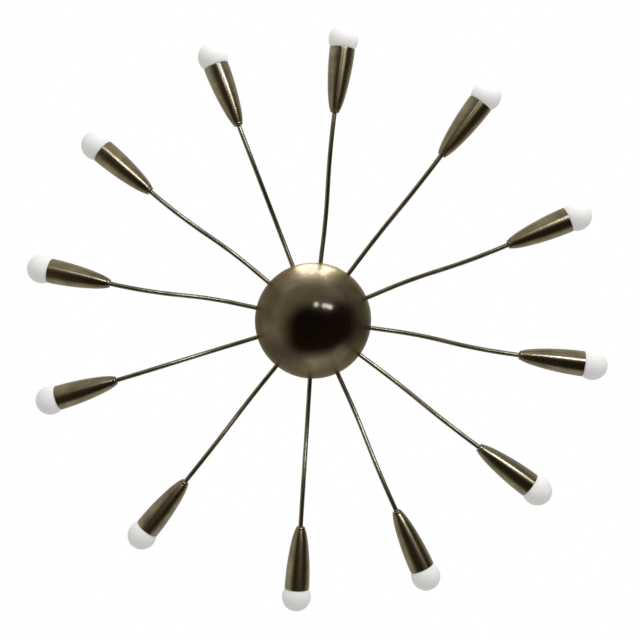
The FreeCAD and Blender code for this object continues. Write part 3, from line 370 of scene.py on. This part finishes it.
def boss_outline():
    """Closed loop of (distance from the axis of the light, radius) round the screw hole of a boss."""
    near, far = DOME["radius"] - DOME["wall"] - BOSS["length"], DOME["radius"] - DOME["wall"] / 2
    hole, edge, sink, chamfer = BOSS["hole"], BOSS["radius"], BOSS["countersink"], BOSS["chamfer"]
    return np.array([(near + sink, hole), (near, hole + sink), (near, edge - chamfer),
                     (near + chamfer, edge), (far, edge), (far, hole)])


print("dome outline", len(dome_outline()), "points, boss outline", len(boss_outline()))

# %% Dome
ARM_HOLE = {"radius": 3.08, "drop": 14.0}
DRILL = {"reach": 8.0, "columns": 40}
TAGS = [f"{number:02d}" for number in range(1, 13)]
swivel = {joint["name"]: np.array(joint["axis"]) for joint in frame["joints"]}
X, Y, Z = np.eye(3)
ORIGIN = np.zeros(3)


def drill(radius, drop, way):
    """Closed cylinder along one way out of the axis of the light, through the skirt only."""
    near, far = DOME["radius"] - DRILL["reach"], DOME["radius"] + DRILL["reach"]
    outline = np.array([(near, 0.0), (near, radius), (far, radius), (far, 0.0)])
    return turned(outline * MM, DRILL["columns"], -drop * MM * Z, way, np.cross(Z, way)), False


def take_out(piece, drills):
    """Takes the drills out of a piece and leaves it a plain mesh."""
    tools = mesh_from_grids("drills", drills, dome_brass)
    holes = piece.modifiers.new("holes", "BOOLEAN")
    holes.operation, holes.solver, holes.object = "DIFFERENCE", "EXACT", tools
    shape = bpy.data.meshes.new_from_object(piece.evaluated_get(bpy.context.evaluated_depsgraph_get()))
    piece.modifiers.clear()
    piece.data = shape
    shape.set_sharp_from_angle(angle=SHARP)
    bpy.data.objects.remove(tools)


dome_grid = turned(dome_outline() * MM, DOME["columns"], ORIGIN, -Z, X)
dome = mesh_from_grids("dome", [(dome_grid, True)], dome_brass)
drills = [drill(ARM_HOLE["radius"], ARM_HOLE["drop"], swivel[f"arm_{tag}_swivel"]) for tag in TAGS]
drills += [drill(BOSS["hole"], BOSS["drop"], way * X) for way in (1, -1)]
take_out(dome, drills)
settle(dome, "canopy", "aged_brass", "canopy_dome")
screw_line = -BOSS["drop"] * MM * Z
boss_grids = [turned(boss_outline() * MM, BOSS["columns"], screw_line, way * X, Y) for way in (1, -1)]
bosses = mesh_from_grids("screw_bosses", [(grid, True) for grid in boss_grids], dome_brass)
settle(bosses, "canopy", "aged_brass")
print("dome faces", len(dome.data.polygons), "holes", len(drills))

# %% [markdown]
# ## The arms
#
# Each arm is a drawn brass tube, 7 mm thick, bent twice in one plane: level out of the dome, down at
# about twenty degrees, level again at the cup. A tube bender turns the tube at a steady rate, so the
# heading of the centre line rises and falls in straight ramps. Adding up the heading's sine and cosine
# gives the line itself, with no arcs to join. The radius along that line makes the rest: the thin
# threaded end inside the dome, the shoulder against the skirt, the plain tube and the rounded collar
# behind the cup.

# %% Arm sizes and the frames of the twelve arms
ARM = {"height": 14.0, "start": 90.3, "root_end": 78.0, "thread": 3.0, "tube": 3.5, "bore": 1.76,
       "bend": 20.5, "root_run": 33.0, "root_bend_radius": 210.0, "slope_run": 21.0,
       "tip_bend_radius": 260.0, "tip_run": 10.5, "collar_neck": 4.6, "collar": 7.25, "collar_length": 4.5,
       "collar_flat": 1.4, "spigot": 5.0, "spigot_length": 14.9, "root_chamfer": 0.3,
       "collar_chamfer": 0.35, "columns": 28}
ARM_ROLL = [-6.0, 8.0, 13.0, 12.5, 2.0, 3.0, -3.5, -6.5, 0.5, -14.0, -11.0, 5.0]


def arm_axes(tag):
    """Outward, sideways and drop directions of one arm: its swivel axis, and the drop turned about it by the
    roll."""
    outward = swivel[f"arm_{tag}_swivel"]
    roll = math.radians(ARM_ROLL[TAGS.index(tag)])
    drop = math.sin(roll) * np.cross(Z, outward) - math.cos(roll) * Z
    return outward, np.cross(drop, outward), drop


def arm_line():
    """Centre line of the tube as (distance along it, out, drop, heading): the heading ramps up, holds, ramps
    down."""
    bend = math.radians(ARM["bend"])
    root_arc, tip_arc = ARM["root_bend_radius"] * bend, ARM["tip_bend_radius"] * bend
    knots = np.r_[0, np.cumsum([ARM["root_run"], root_arc, ARM["slope_run"], tip_arc, ARM["tip_run"]])]
    s = np.union1d(np.linspace(0, knots[-1], 241), knots)
    heading = np.interp(s, knots, [0, 0, bend, bend, 0, 0])
    middle, step = (heading[1:] + heading[:-1]) / 2, np.diff(s)
    out = ARM["start"] + np.r_[0, np.cumsum(np.cos(middle) * step)]
    return s, out, np.r_[0, np.cumsum(np.sin(middle) * step)], heading


line_s, line_out, line_drop, line_heading = arm_line()
TIP_OUT, TIP_DROP = line_out[-1] + ARM["collar_length"], line_drop[-1]
print("cup seat at", round(TIP_OUT, 2), "mm out,", round(TIP_DROP, 2), "mm down")

# %% Arms
BRAZE = [(0.9, 0.0), (0.35, 0.25)]  # distance before the collar, height above the tube
BRAZE_ROOM = 1.0  # the plain tube ends this far before the collar


def arm_stations():
    """Closed loop of stations (distance along the tube, radius): threaded end, shoulder, tube, collar,
    spigot inside the cup, and the bore back to the start."""
    start, end = ARM["root_end"] - ARM["start"], line_s[-1]
    collar_end = end + ARM["collar_length"]
    spigot_end = collar_end + ARM["spigot_length"]
    bore, thread, chamfer = ARM["bore"], ARM["thread"], ARM["root_chamfer"]
    root = [(start, bore), (start, thread - chamfer), (start + chamfer, thread), (0, thread),
            (0, ARM["tube"] - chamfer), (chamfer, ARM["tube"])]
    tube = np.stack([line_s[2:-1], np.full(len(line_s) - 3, ARM["tube"])], axis=-1)
    tube = tube[tube[:, 0] < end - BRAZE_ROOM]
    braze = [(end - before, ARM["tube"] + high) for before, high in BRAZE] + [(end, ARM["collar_neck"])]
    swell = np.linspace(0, np.pi / 2, 9)
    rise, run = ARM["collar"] - ARM["collar_neck"], ARM["collar_length"] - ARM["collar_flat"]
    collar = np.stack([end + run * (1 - np.cos(swell)), ARM["collar_neck"] + rise * np.sin(swell)], axis=-1)
    edge = ARM["collar_chamfer"]
    face = [(collar_end - edge, ARM["collar"]), (collar_end, ARM["collar"] - edge),
            (collar_end, ARM["spigot"]), (spigot_end, ARM["spigot"]), (spigot_end, bore)]
    back = np.stack([line_s[::-4], np.full(len(line_s[::-4]), bore)], axis=-1)
    return np.concatenate([root, tube, braze, collar[1:], face, back])


def along_arm(tag, station, columns):
    """Rings across the centre line, each as wide as its station says; both ends run on straight."""
    outward, sideways, drop = arm_axes(tag)
    s, radius = station[:, 0], station[:, 1]
    inside = np.clip(s, 0, line_s[-1])
    out = np.interp(inside, line_s, line_out) + (s - inside)
    down, heading = np.interp(inside, line_s, line_drop), np.interp(inside, line_s, line_heading)
    angle = full_turn(columns)
    centre = out[:, None] * outward + down[:, None] * drop - ARM["height"] * Z
    across = np.cos(heading)[:, None] * drop - np.sin(heading)[:, None] * outward
    ring = np.cos(angle)[None, :, None] * across[:, None] + np.sin(angle)[None, :, None] * sideways
    return (centre[:, None] + radius[:, None, None] * ring) * MM


for tag in TAGS:
    arm_grid = along_arm(tag, arm_stations(), ARM["columns"])
    arm = mesh_from_grids(f"arm_tube_{tag}", [(arm_grid, True)], tube_brass)
    settle(arm, f"arm_body_{tag}", "aged_brass", f"arm_{tag}")
print("arm faces", len(arm.data.polygons))

# %% [markdown]
# ## The cups
#
# A cup is spun from thin brass sheet: a long gentle curve from the mouth, then a tighter one to a small
# flat end. Two arcs that share a tangent give that line, and the same two arcs moved in by the sheet's
# thickness give the inside. The lip is rounded, because a spinner trims and burnishes it.

# %% Cup outline
CUP = {"length": 92.0, "mouth": 19.25, "wall": 0.9, "shoulder": 20.0, "fullness": 0.45, "small": 8.1,
       "hole": 5.1, "corner": 0.5, "columns": 96}
CUP_CORNER = [(0.0, 0.35), (0.15, 0.05)]  # distance from the end wall, and inwards from the small radius


def cup_arcs():
    """Radius of the long arc, lean at the joint, radius and centre of the short arc, from the cup's own
    sizes."""
    joint = CUP["small"] + CUP["fullness"] * (CUP["mouth"] - CUP["small"])
    run, rise = CUP["length"] - CUP["shoulder"], CUP["mouth"] - joint
    long = (run ** 2 + rise ** 2) / (2 * rise)
    lean = math.asin(run / long)
    half_turn = math.atan((joint - CUP["small"]) / CUP["shoulder"]) - lean
    short = math.hypot(CUP["shoulder"], joint - CUP["small"]) / (2 * math.sin(half_turn))
    centre = (CUP["shoulder"] + short * math.sin(lean), joint - short * math.cos(lean))
    return long, lean, short, centre


def cup_radius(x, inset):
    """Radius of the cup's wall at x, moved in by inset: long arc beyond the joint, short arc before it."""
    long, lean, short, centre = cup_arcs()
    side = CUP["mouth"] - long + np.sqrt((long - inset) ** 2 - (CUP["length"] - x) ** 2)
    crown = centre[1] + np.sqrt((short - inset) ** 2 - (x - centre[0]) ** 2)
    return np.where(x > CUP["shoulder"] + inset * math.sin(lean), side, crown)


def cup_outline():
    """Closed loop of (distance from the end wall, radius): end wall, outside, rounded lip, inside."""
    wall, lip_x = CUP["wall"], CUP["length"] - CUP["wall"] / 2
    x_out, x_in = np.linspace(CUP["corner"], lip_x, 90), np.linspace(lip_x, wall, 50)
    outside = np.stack([x_out, cup_radius(x_out, 0)], axis=-1)
    inside = np.stack([x_in, cup_radius(x_in, wall)], axis=-1)
    turn = np.linspace(np.pi / 2, -np.pi / 2, 9)[1:-1]
    middle = (outside[-1, 1] + inside[0, 1]) / 2
    lip = np.stack([lip_x + wall / 2 * np.cos(turn), middle + wall / 2 * np.sin(turn)], axis=-1)
    end = [(wall, CUP["hole"]), (0, CUP["hole"])] + [(x, CUP["small"] - inward) for x, inward in CUP_CORNER]
    return np.concatenate([end, outside, lip, inside])


print("cup arcs", [round(float(v), 2) for v in cup_arcs()[:3]])

# %% Cups
def seat(tag):
    """Start point of the cup's axis on one arm, in metres, and its outward and drop directions."""
    outward, _, drop = arm_axes(tag)
    return (TIP_OUT * outward + TIP_DROP * drop - ARM["height"] * Z) * MM, outward, drop


for tag in TAGS:
    cup_grid = turned(cup_outline() * MM, CUP["columns"], *seat(tag))
    cup = mesh_from_grids(f"cup_shell_{tag}", [(cup_grid, True)], cup_brass)
    settle(cup, f"arm_body_{tag}", "aged_brass", f"cup_{tag}")
print("cup faces", len(cup.data.polygons))

# %% [markdown]
# ## The bulbs
#
# A golf-ball bulb is a 45 mm opal globe with a cone that runs into its neck, on a plated screw cap. The
# globe and neck are one satin skin. The cap shows only when a bulb is screwed out, and then its thread
# is what one sees: a round wave that climbs one pitch for each turn, so the radius is a cosine of
# height and angle together.

# %% Bulb sizes
BULB = {"globe": 22.5, "room": 0.55, "length": 78.0, "cap": 6.9, "thread": 17.5, "skirt": 8.5, "flare": 3.0,
        "flare_step": 0.05, "skirt_length": 3.0, "chamfer": 0.3, "tip": 3.2, "tip_length": 2.0, "cone": 2.0,
        "cone_step": (0.3, 0.6), "pitch": 2.82, "groove": 0.4, "run_out": 2.0, "row": 2.0, "columns": 96}
waist = CUP["mouth"] - CUP["wall"] - BULB["room"]
globe_x = CUP["length"] + math.sqrt(BULB["globe"] ** 2 - waist ** 2)
tip_x = globe_x + BULB["globe"] - BULB["length"]
cap_x = tip_x + BULB["tip_length"] + BULB["cone"]
thread_end = cap_x + BULB["thread"]
neck_x = thread_end + BULB["flare"] + BULB["skirt_length"]
reach = math.hypot(globe_x - neck_x, BULB["skirt"])
neck_aim = math.asin(BULB["globe"] / reach) - math.asin(BULB["skirt"] / reach)
print("bulb from", round(tip_x, 2), "to", round(globe_x + BULB["globe"], 2), "mm past the cup's end wall")

# %% Bulb outlines
NECK_FOOT = [(-1.0, -1.0), (-0.1, -0.6), (0.0, -0.1), (0.3, 0.2)]  # from the neck's start and its radius
CONTACT_END = [(0.0, 0.0), (0.0, 1.6), (0.4, 2.7), (1.0, BULB["tip"])]  # distance from the tip, radius
THREAD_ROWS = 76


def skin_outline():
    """Neck and globe as (distance, radius): a short collar, a cone, then the circle it touches, up to the
    pole."""
    angle = np.linspace(np.pi / 2 + neck_aim, 0, 61)
    ball = np.stack([globe_x + BULB["globe"] * np.cos(angle), BULB["globe"] * np.sin(angle)], axis=-1)
    foot = np.array(NECK_FOOT) + (neck_x, BULB["skirt"])
    neck = dense([foot[-1], ball[0]], BULB["row"])
    base, pole = [(foot[0, 0], 0.0)], [(globe_x + BULB["globe"], 0.0)]
    return np.concatenate([base, foot[:-1], neck[:-1], ball[:-1], pole])


def cap_outline():
    """Screw cap as (distance, radius): end contact, insulating cone, thread, flare and wide top."""
    skirt, chamfer = BULB["skirt"], BULB["chamfer"]
    before, inward = BULB["cone_step"]
    tip = [(tip_x + x, radius) for x, radius in CONTACT_END]
    cone = [(tip_x + BULB["tip_length"], BULB["tip"]), (cap_x - before, BULB["cap"] - inward)]
    thread_x = np.linspace(cap_x, thread_end, THREAD_ROWS)
    thread = np.stack([thread_x, np.full(THREAD_ROWS, BULB["cap"])], axis=-1)
    top = [(thread_end + BULB["flare"], skirt - BULB["flare_step"]), (neck_x - chamfer, skirt),
           (neck_x, skirt - chamfer), (neck_x, 0.0)]
    return np.concatenate([tip, cone, thread, top])


def thread_depth(x, low, high, depth):
    """Depth of the thread at x: full between low and high, and run out to nothing at both."""
    return depth * np.clip((x - low) / BULB["run_out"], 0, 1) * np.clip((high - x) / BULB["run_out"], 0, 1)


def threaded(outline, depth, start, outward, drop, columns=48):
    """Grid of a turned outline with a screw thread: each row's radius sinks by its depth times one minus the
    cosine of its height in pitches less the angle."""
    angle = full_turn(columns)
    x = outline[:, 0, None]
    radius = outline[:, 1, None] + depth[:, None] * (np.cos(2 * np.pi * x / BULB["pitch"] - angle) - 1)
    spoke = np.cos(angle)[:, None] * drop + np.sin(angle)[:, None] * np.cross(outward, drop)
    return start + x[..., None] * MM * outward + radius[..., None] * MM * spoke


print("skin outline", len(skin_outline()), "points, cap outline", len(cap_outline()))

# %% Bulbs
bulbs = []
for tag in TAGS:
    skin_grid = turned(skin_outline() * MM, BULB["columns"], *seat(tag))
    globe = mesh_from_grids(f"bulb_skin_{tag}", [(skin_grid, False)], opal)
    settle(globe, f"bulb_body_{tag}", "opal", f"bulb_{tag}")
    bulbs.append(globe)
    outline = cap_outline()
    depth = thread_depth(outline[:, 0], cap_x, thread_end, BULB["groove"])
    cap = mesh_from_grids(f"bulb_cap_{tag}", [(threaded(outline, depth, *seat(tag)), False)], nickel)
    settle(cap, f"bulb_body_{tag}", "opal")
print("bulb faces", len(globe.data.polygons), "cap faces", len(cap.data.polygons))

# %% [markdown]
# ## The lampholders
#
# With a bulb out, one looks into its lampholder: a black moulded sleeve, a brass shell with a rolled
# thread and a brass contact at the bottom. One could leave the engineering model's solid there, but it
# is one node with one finish. So each is three pieces: the moulding, the brass, and the lead that runs
# back through the tube.

# %% Lampholder outlines
HOLDER = {"start": 0.9, "hole": 5.1, "boss": 6.3, "boss_end": 12.9, "base": 9.1, "base_end": 28.9,
          "radius": 11.75, "bore": 7.75, "shell": 7.7, "crest": 7.62, "groove": 0.2, "sink": 1.0,
          "raise": 2.5, "rim_room": 0.8, "edge": 0.5, "contact": 3.5, "contact_thick": 1.0,
          "contact_gap": 0.3, "contact_edge": 0.4, "lead": 1.7, "lead_hole": 2.0, "lead_hole_end": 21.2,
          "lead_end": 20.9, "spigot_room": 15.0, "columns": 64, "contact_columns": 32, "lead_columns": 16}
floor_x = tip_x - HOLDER["contact_gap"] - HOLDER["contact_thick"]
rim_x = thread_end - HOLDER["rim_room"]


def holder_outline():
    """Moulding as (distance, radius) from the bottom of its lead hole round the outside to its socket's
    floor."""
    h = HOLDER
    lead_hole = [(h["lead_hole_end"], 0), (h["lead_hole_end"], h["lead_hole"])]
    spigot_end = h["spigot_room"]
    spigot_hole = [(spigot_end, h["lead_hole"]), (spigot_end, h["hole"]), (h["start"], h["hole"])]
    boss = [(h["start"], h["boss"]), (h["boss_end"], h["boss"]), (h["boss_end"], h["base"])]
    sleeve = [(h["base_end"], h["base"]), (h["base_end"], h["radius"]), (rim_x, h["radius"])]
    socket = [(rim_x, h["bore"]), (floor_x, h["bore"]), (floor_x, 0)]
    return rounded(lead_hole + spigot_hole + boss + sleeve + socket, h["edge"])


def shell_outline():
    """Closed loop of the brass shell, thread first, and the depth of the thread in each of its rows."""
    low, high = floor_x + HOLDER["raise"], rim_x - HOLDER["sink"]
    inside = np.linspace(high, low, THREAD_ROWS)
    thread = np.stack([inside, np.full(THREAD_ROWS, HOLDER["crest"])], axis=-1)
    loop = np.concatenate([thread, [(low, HOLDER["shell"]), (high, HOLDER["shell"])]])
    return loop, np.r_[thread_depth(inside, low, high, HOLDER["groove"]), 0, 0]


def contact_outline():
    """Centre contact: a low disc with a rounded edge."""
    top, r = floor_x + HOLDER["contact_thick"], HOLDER["contact"]
    return rounded([(floor_x, 0), (floor_x, r), (top, r), (top, 0)], HOLDER["contact_edge"])


def lead_stations():
    """Lead as (distance along the tube, radius): from the threaded end of the tube to the lampholder's
    hole."""
    low, high = ARM["root_end"] - ARM["start"], line_s[-1] + ARM["collar_length"] + HOLDER["lead_end"]
    s = np.r_[low, line_s[::6], high]
    return np.r_[[(low, 0.0)], np.stack([s, np.full(len(s), HOLDER["lead"])], axis=-1), [(high, 0.0)]]


print("lampholder from", HOLDER["start"], "to", round(rim_x, 2), "mm")

# %% Lampholders
for tag in TAGS:
    body_grid = turned(holder_outline() * MM, HOLDER["columns"], *seat(tag))
    body = mesh_from_grids(f"holder_body_{tag}", [(body_grid, False)], phenolic)
    settle(body, f"arm_body_{tag}", "phenolic", f"lampholder_{tag}")
    loop, depth = shell_outline()
    contact_grid = turned(contact_outline() * MM, HOLDER["contact_columns"], *seat(tag))
    brass_grids = [(threaded(loop, depth, *seat(tag)), True), (contact_grid, False)]
    brass = mesh_from_grids(f"holder_brass_{tag}", brass_grids, turned_brass)
    settle(brass, f"arm_body_{tag}", "bare_brass")
    lead_grid = along_arm(tag, lead_stations(), HOLDER["lead_columns"])
    lead = mesh_from_grids(f"holder_lead_{tag}", [(lead_grid, False)], sheath)
    settle(lead, f"arm_body_{tag}", "lead_sheath")
print("moulding faces", len(body.data.polygons), "lead faces", len(lead.data.polygons))

# %% [markdown]
# ## What the dome hides
#
# The bracket, the block with its rings, the nuts, the screws and the leads keep the shapes of the
# engineering model: they are flat-sided, small or smooth already. They only need their finish.

# %% Finishes of the pieces that keep their CAD shape
KEPT = {"ceiling_bracket": zinc, "block_pillars": zinc, "block_nuts": zinc, "canopy_set_screws": screw_brass,
        "arm_lock_nuts": turned_brass, "bus_rings": turned_brass, "terminal_screws": turned_brass,
        "earth_terminal": turned_brass, "distributor_block": phenolic, "cable_grommet": rubber,
        "arm_leads": sheath}
for node, finish in KEPT.items():
    frame["nodes"][node].data.materials.clear()
    frame["nodes"][node].data.materials.append(finish)
print("kept nodes", len(KEPT))

# %% [markdown]
# ## Camera, light and floor
#
# The photograph was taken from below, a little off the axis. The camera's place comes from fitting the
# twelve arms and bulbs to their places in the picture. The background is white, so the world is white
# to the eye and in metal, and dimmer as a lamp. Two small soft lamps on the viewer's side give the
# narrow bright lines on the cups and the two spots on the dome. The dome's bottom is glossier than the
# cups, so there the spots would burn out: light linking keeps these lamps off the dome, and two dimmed
# ones in the same places light it alone. The first two are kept off the bulbs too, which are white
# towards the top of the picture and evenly grey below: a broad fill from that side and a lamp behind the
# light give them that, and both stay out of mirrors.
#
# A window above gives the broad gleam on the dome's upper edge, a weak haze beside it lets that gleam
# run out softly, and a weaker one lights the lower edge. These three light nothing else, because on a
# cup their gleam would lie along the outline and melt into the white behind. A pale floor lies below,
# with edges that fade into the white. One thing is left: the dome in the photograph mirrors a dark room
# behind the viewer. A dark cloth stands for that room. It only shows in mirrors, because from other
# sides it would hide the floor.

# %% Camera
PHOTO = {"turn": -23.0, "field": 33.6, "sensor": 36.0}  # degrees, degrees, mm
eye, aim = np.array([0.1334, 0.0842, -1.665]), np.array([0.0033, 0.0086, 0.0])  # metres
UP = np.array([math.cos(math.radians(PHOTO["turn"])), math.sin(math.radians(PHOTO["turn"])), 0.0])
RIGHT = np.cross(Z, UP)


def placed(x_axis, y_axis, z_axis, origin):
    """Matrix of an object whose own axes lie along three directions and whose origin lies at a point."""
    place = np.eye(4)
    place[:3] = np.stack([x_axis, y_axis, z_axis, origin], axis=-1)
    return Matrix(place.tolist())


sight = (aim - eye) / np.linalg.norm(aim - eye)
to_right = np.cross(sight, UP)
to_right /= np.linalg.norm(to_right)
camera = bpy.data.objects.new("camera", bpy.data.cameras.new("camera"))
camera.data.sensor_width = PHOTO["sensor"]
camera.data.lens = PHOTO["sensor"] / 2 / math.tan(math.radians(PHOTO["field"]) / 2)
scene.collection.objects.link(camera)
camera.matrix_world = placed(to_right, np.cross(to_right, sight), -sight, eye)
scene.camera = camera
print("camera", eye, "lens", round(camera.data.lens, 1))

# %% Lamp helpers
def lamp(name, direction, distance, width, height, power, colour):
    """A soft rectangular lamp that looks at the dome; direction is (right, up, towards the viewer) in the
    picture."""
    way = direction[0] * RIGHT + direction[1] * UP - direction[2] * Z
    way = way / np.linalg.norm(way)
    side = RIGHT - (RIGHT @ way) * way
    side /= np.linalg.norm(side)
    data = bpy.data.lights.new(name, "AREA")
    data.shape, data.size, data.size_y, data.energy = "RECTANGLE", width, height, power
    data.color = linear(colour)[:3]
    made = bpy.data.objects.new(name, data)
    scene.collection.objects.link(made)
    made.matrix_world = placed(side, np.cross(way, side), way, way * distance)
    made.visible_camera = False
    return made


def link_light(made, state, *pieces):
    """Limits a lamp to some pieces (INCLUDE), or keeps it off them (EXCLUDE)."""
    chosen = bpy.data.collections.new(made.name + "_reach")
    for piece in pieces:
        chosen.objects.link(piece)
    for member in chosen.collection_objects:
        member.light_linking.link_state = state
    made.light_linking.receiver_collection = chosen


print("picture's right", np.round(RIGHT, 3), "and up", np.round(UP, 3))

# %% Lamps
SMALL, WIDE = (0.169, 0.553, 0.816), (0.50, 0.487, 0.713)
WHITE, CUP_LIGHT, SPOT_LIGHT, DAYLIGHT = "#ffffff", "#e0eaff", "#d0e0ff", "#d9e6ff"
# Direction in the picture, distance, width and height in metres, power in watts, colour.
LAMPS = {"lamp_small": (SMALL, 2.2, 0.25, 0.25, 13, CUP_LIGHT),
         "lamp_wide": (WIDE, 2.2, 0.70, 0.25, 30, CUP_LIGHT),
         "lamp_small_dimmed": (SMALL, 2.2, 0.25, 0.25, 3.6, SPOT_LIGHT),
         "lamp_wide_dimmed": (WIDE, 2.2, 0.70, 0.25, 9, SPOT_LIGHT),
         "lamp_window": ((-0.02, 0.80, -0.60), 1.6, 0.84, 1.1, 105, DAYLIGHT),
         "lamp_haze": ((-0.2, 0.97, -0.15), 1.6, 2.2, 1.0, 10, DAYLIGHT),
         "lamp_low_haze": ((0.38, -0.92, -0.05), 1.6, 1.8, 1.1, 4.6, WHITE),
         "lamp_fill": ((0.3, 0.85, 0.43), 1.8, 1.4, 1.4, 20, WHITE),
         "lamp_above": ((0.0, 0.65, -0.76), 1.8, 1.4, 1.4, 7, WHITE)}
OFF_DOME_AND_BULBS = ["lamp_small", "lamp_wide"]
DOME_ONLY = ["lamp_small_dimmed", "lamp_wide_dimmed", "lamp_window", "lamp_haze", "lamp_low_haze"]
OUT_OF_MIRRORS = ["lamp_fill", "lamp_above"]
lamps = {name: lamp(name, *values) for name, values in LAMPS.items()}
for name in OFF_DOME_AND_BULBS:
    link_light(lamps[name], "EXCLUDE", dome, *bulbs)
for name in DOME_ONLY:
    link_light(lamps[name], "INCLUDE", dome)
for name in OUT_OF_MIRRORS:
    lamps[name].visible_glossy = False
print("lamps", list(lamps))

# %% World
WORLD_AS_LAMP, WORLD_SEEN = 0.65, 1.0


def watched(tree):
    """1 for rays that the eye follows, straight or by way of metal and glass, and 0 for rays that carry
    light."""
    ray = add(tree, "ShaderNodeLightPath").outputs
    seen = add(tree, "ShaderNodeMath", {0: ray["Is Camera Ray"], 1: ray["Is Glossy Ray"]},
               operation="MAXIMUM")
    seen = add(tree, "ShaderNodeMath", {0: seen.outputs[0], 1: ray["Is Transmission Ray"]},
               operation="MAXIMUM")
    return seen.outputs[0]


scene.view_settings.view_transform = "Standard"
world = bpy.data.worlds.new("white_room")
world.use_nodes = True
scene.world = world
room = world.node_tree
room.nodes.clear()
level = add(room, "ShaderNodeMapRange", {
    "Value": watched(room), "To Min": WORLD_AS_LAMP, "To Max": WORLD_SEEN})
glow = add(room, "ShaderNodeBackground", {"Color": linear(WHITE), "Strength": level.outputs[0]})
add(room, "ShaderNodeOutputWorld", {"Surface": glow.outputs[0]})
print("world", world.name)

# %% Sheets of the stage
def stage_sheet(name, points, colour, glow, fade):
    """A sheet of rings of points round its middle: matt paint that shines by glow to the eye, faded out at
    its edge over the last share of its rings."""
    rows, columns = points.shape[:2]
    mesh = bpy.data.meshes.new(name)
    mesh.from_pydata(points.reshape(-1, 3), [], grid_faces(rows, columns, False).tolist())
    share = grid_turns(rows, columns, np.linspace(0, 1, rows), False)
    mesh.uv_layers.new(name="rings").uv.foreach_set("vector", share.ravel())
    paint, tree = new_material(name + "_paint")
    ring = add(tree, "ShaderNodeSeparateXYZ", {0: add(tree, "ShaderNodeUVMap", uv_map="rings").outputs[0]})
    cover = add(tree, "ShaderNodeMapRange", {
        "Value": ring.outputs["Y"], "From Min": 1.0, "From Max": 1.0 - fade},
        interpolation_type="SMOOTHSTEP")
    shine = add(tree, "ShaderNodeMath", {0: watched(tree), 1: glow}, operation="MULTIPLY")
    bright = add(tree, "ShaderNodeEmission", {"Color": linear(colour), "Strength": shine.outputs[0]})
    matt = add(tree, "ShaderNodeBsdfDiffuse", {"Color": linear(colour)})
    both = add(tree, "ShaderNodeAddShader", {0: matt.outputs[0], 1: bright.outputs[0]})
    clear = add(tree, "ShaderNodeBsdfTransparent")
    edge = add(tree, "ShaderNodeMixShader", {0: cover.outputs[0], 1: clear.outputs[0], 2: both.outputs[0]})
    add(tree, "ShaderNodeOutputMaterial", {"Surface": edge.outputs[0]})
    mesh.materials.append(paint)
    made = bpy.data.objects.new(name, mesh)
    scene.collection.objects.link(made)
    return made


SHEET_ROWS, SHEET_COLUMNS = 25, 72
rings = np.linspace(0, 1, SHEET_ROWS)[:, None]
turn = full_turn(SHEET_COLUMNS)[None]
print("sheet points", rings.size * turn.size)

# %% Floor and dark cloth
FLOOR = {"drop": 2.7, "radius": 9.0}  # metres
# The cloth hangs so many metres away. Its place and size are in parts of the dome's radius.
CLOTH = {"away": 2.5, "right": 0.21, "up": -0.09, "half_width": 0.77, "half_height": 0.53, "lean": 0.15,
         "power": 0.6}


def floor_points():
    """A flat disc below the light."""
    across, along = FLOOR["radius"] * rings * np.cos(turn), FLOOR["radius"] * rings * np.sin(turn)
    return across[..., None] * RIGHT + along[..., None] * UP - FLOOR["drop"] * Z


def cloth_points():
    """A leaning oval with full corners, because its cosine and sine are raised to a power below 1. It is
    drawn on the dome as the viewer sees it, in parts of its radius, and carried out along the mirrored line
    of sight: at p from the middle a half sphere turns the sight by twice the angle whose sine is p."""
    full_cos = np.sign(np.cos(turn)) * np.abs(np.cos(turn)) ** CLOTH["power"]
    full_sin = np.sign(np.sin(turn)) * np.abs(np.sin(turn)) ** CLOTH["power"]
    from_middle = CLOTH["half_width"] * rings * full_cos
    across = CLOTH["right"] + from_middle
    along = CLOTH["up"] + CLOTH["half_height"] * rings * full_sin + CLOTH["lean"] * from_middle
    square = (across ** 2 + along ** 2)[..., None]
    aside = across[..., None] * RIGHT + along[..., None] * UP
    return CLOTH["away"] * (2 * np.sqrt(1 - square) * aside - (1 - 2 * square) * Z)


stage_sheet("floor", floor_points(), "#e6e3de", glow=0.32, fade=0.6)
cloth = stage_sheet("dark_cloth", cloth_points(), "#443a2f", glow=0.0, fade=0.4)
cloth.visible_camera = cloth.visible_diffuse = cloth.visible_shadow = False
print("floor", -FLOOR["drop"], "m, cloth", CLOTH["away"], "m away")
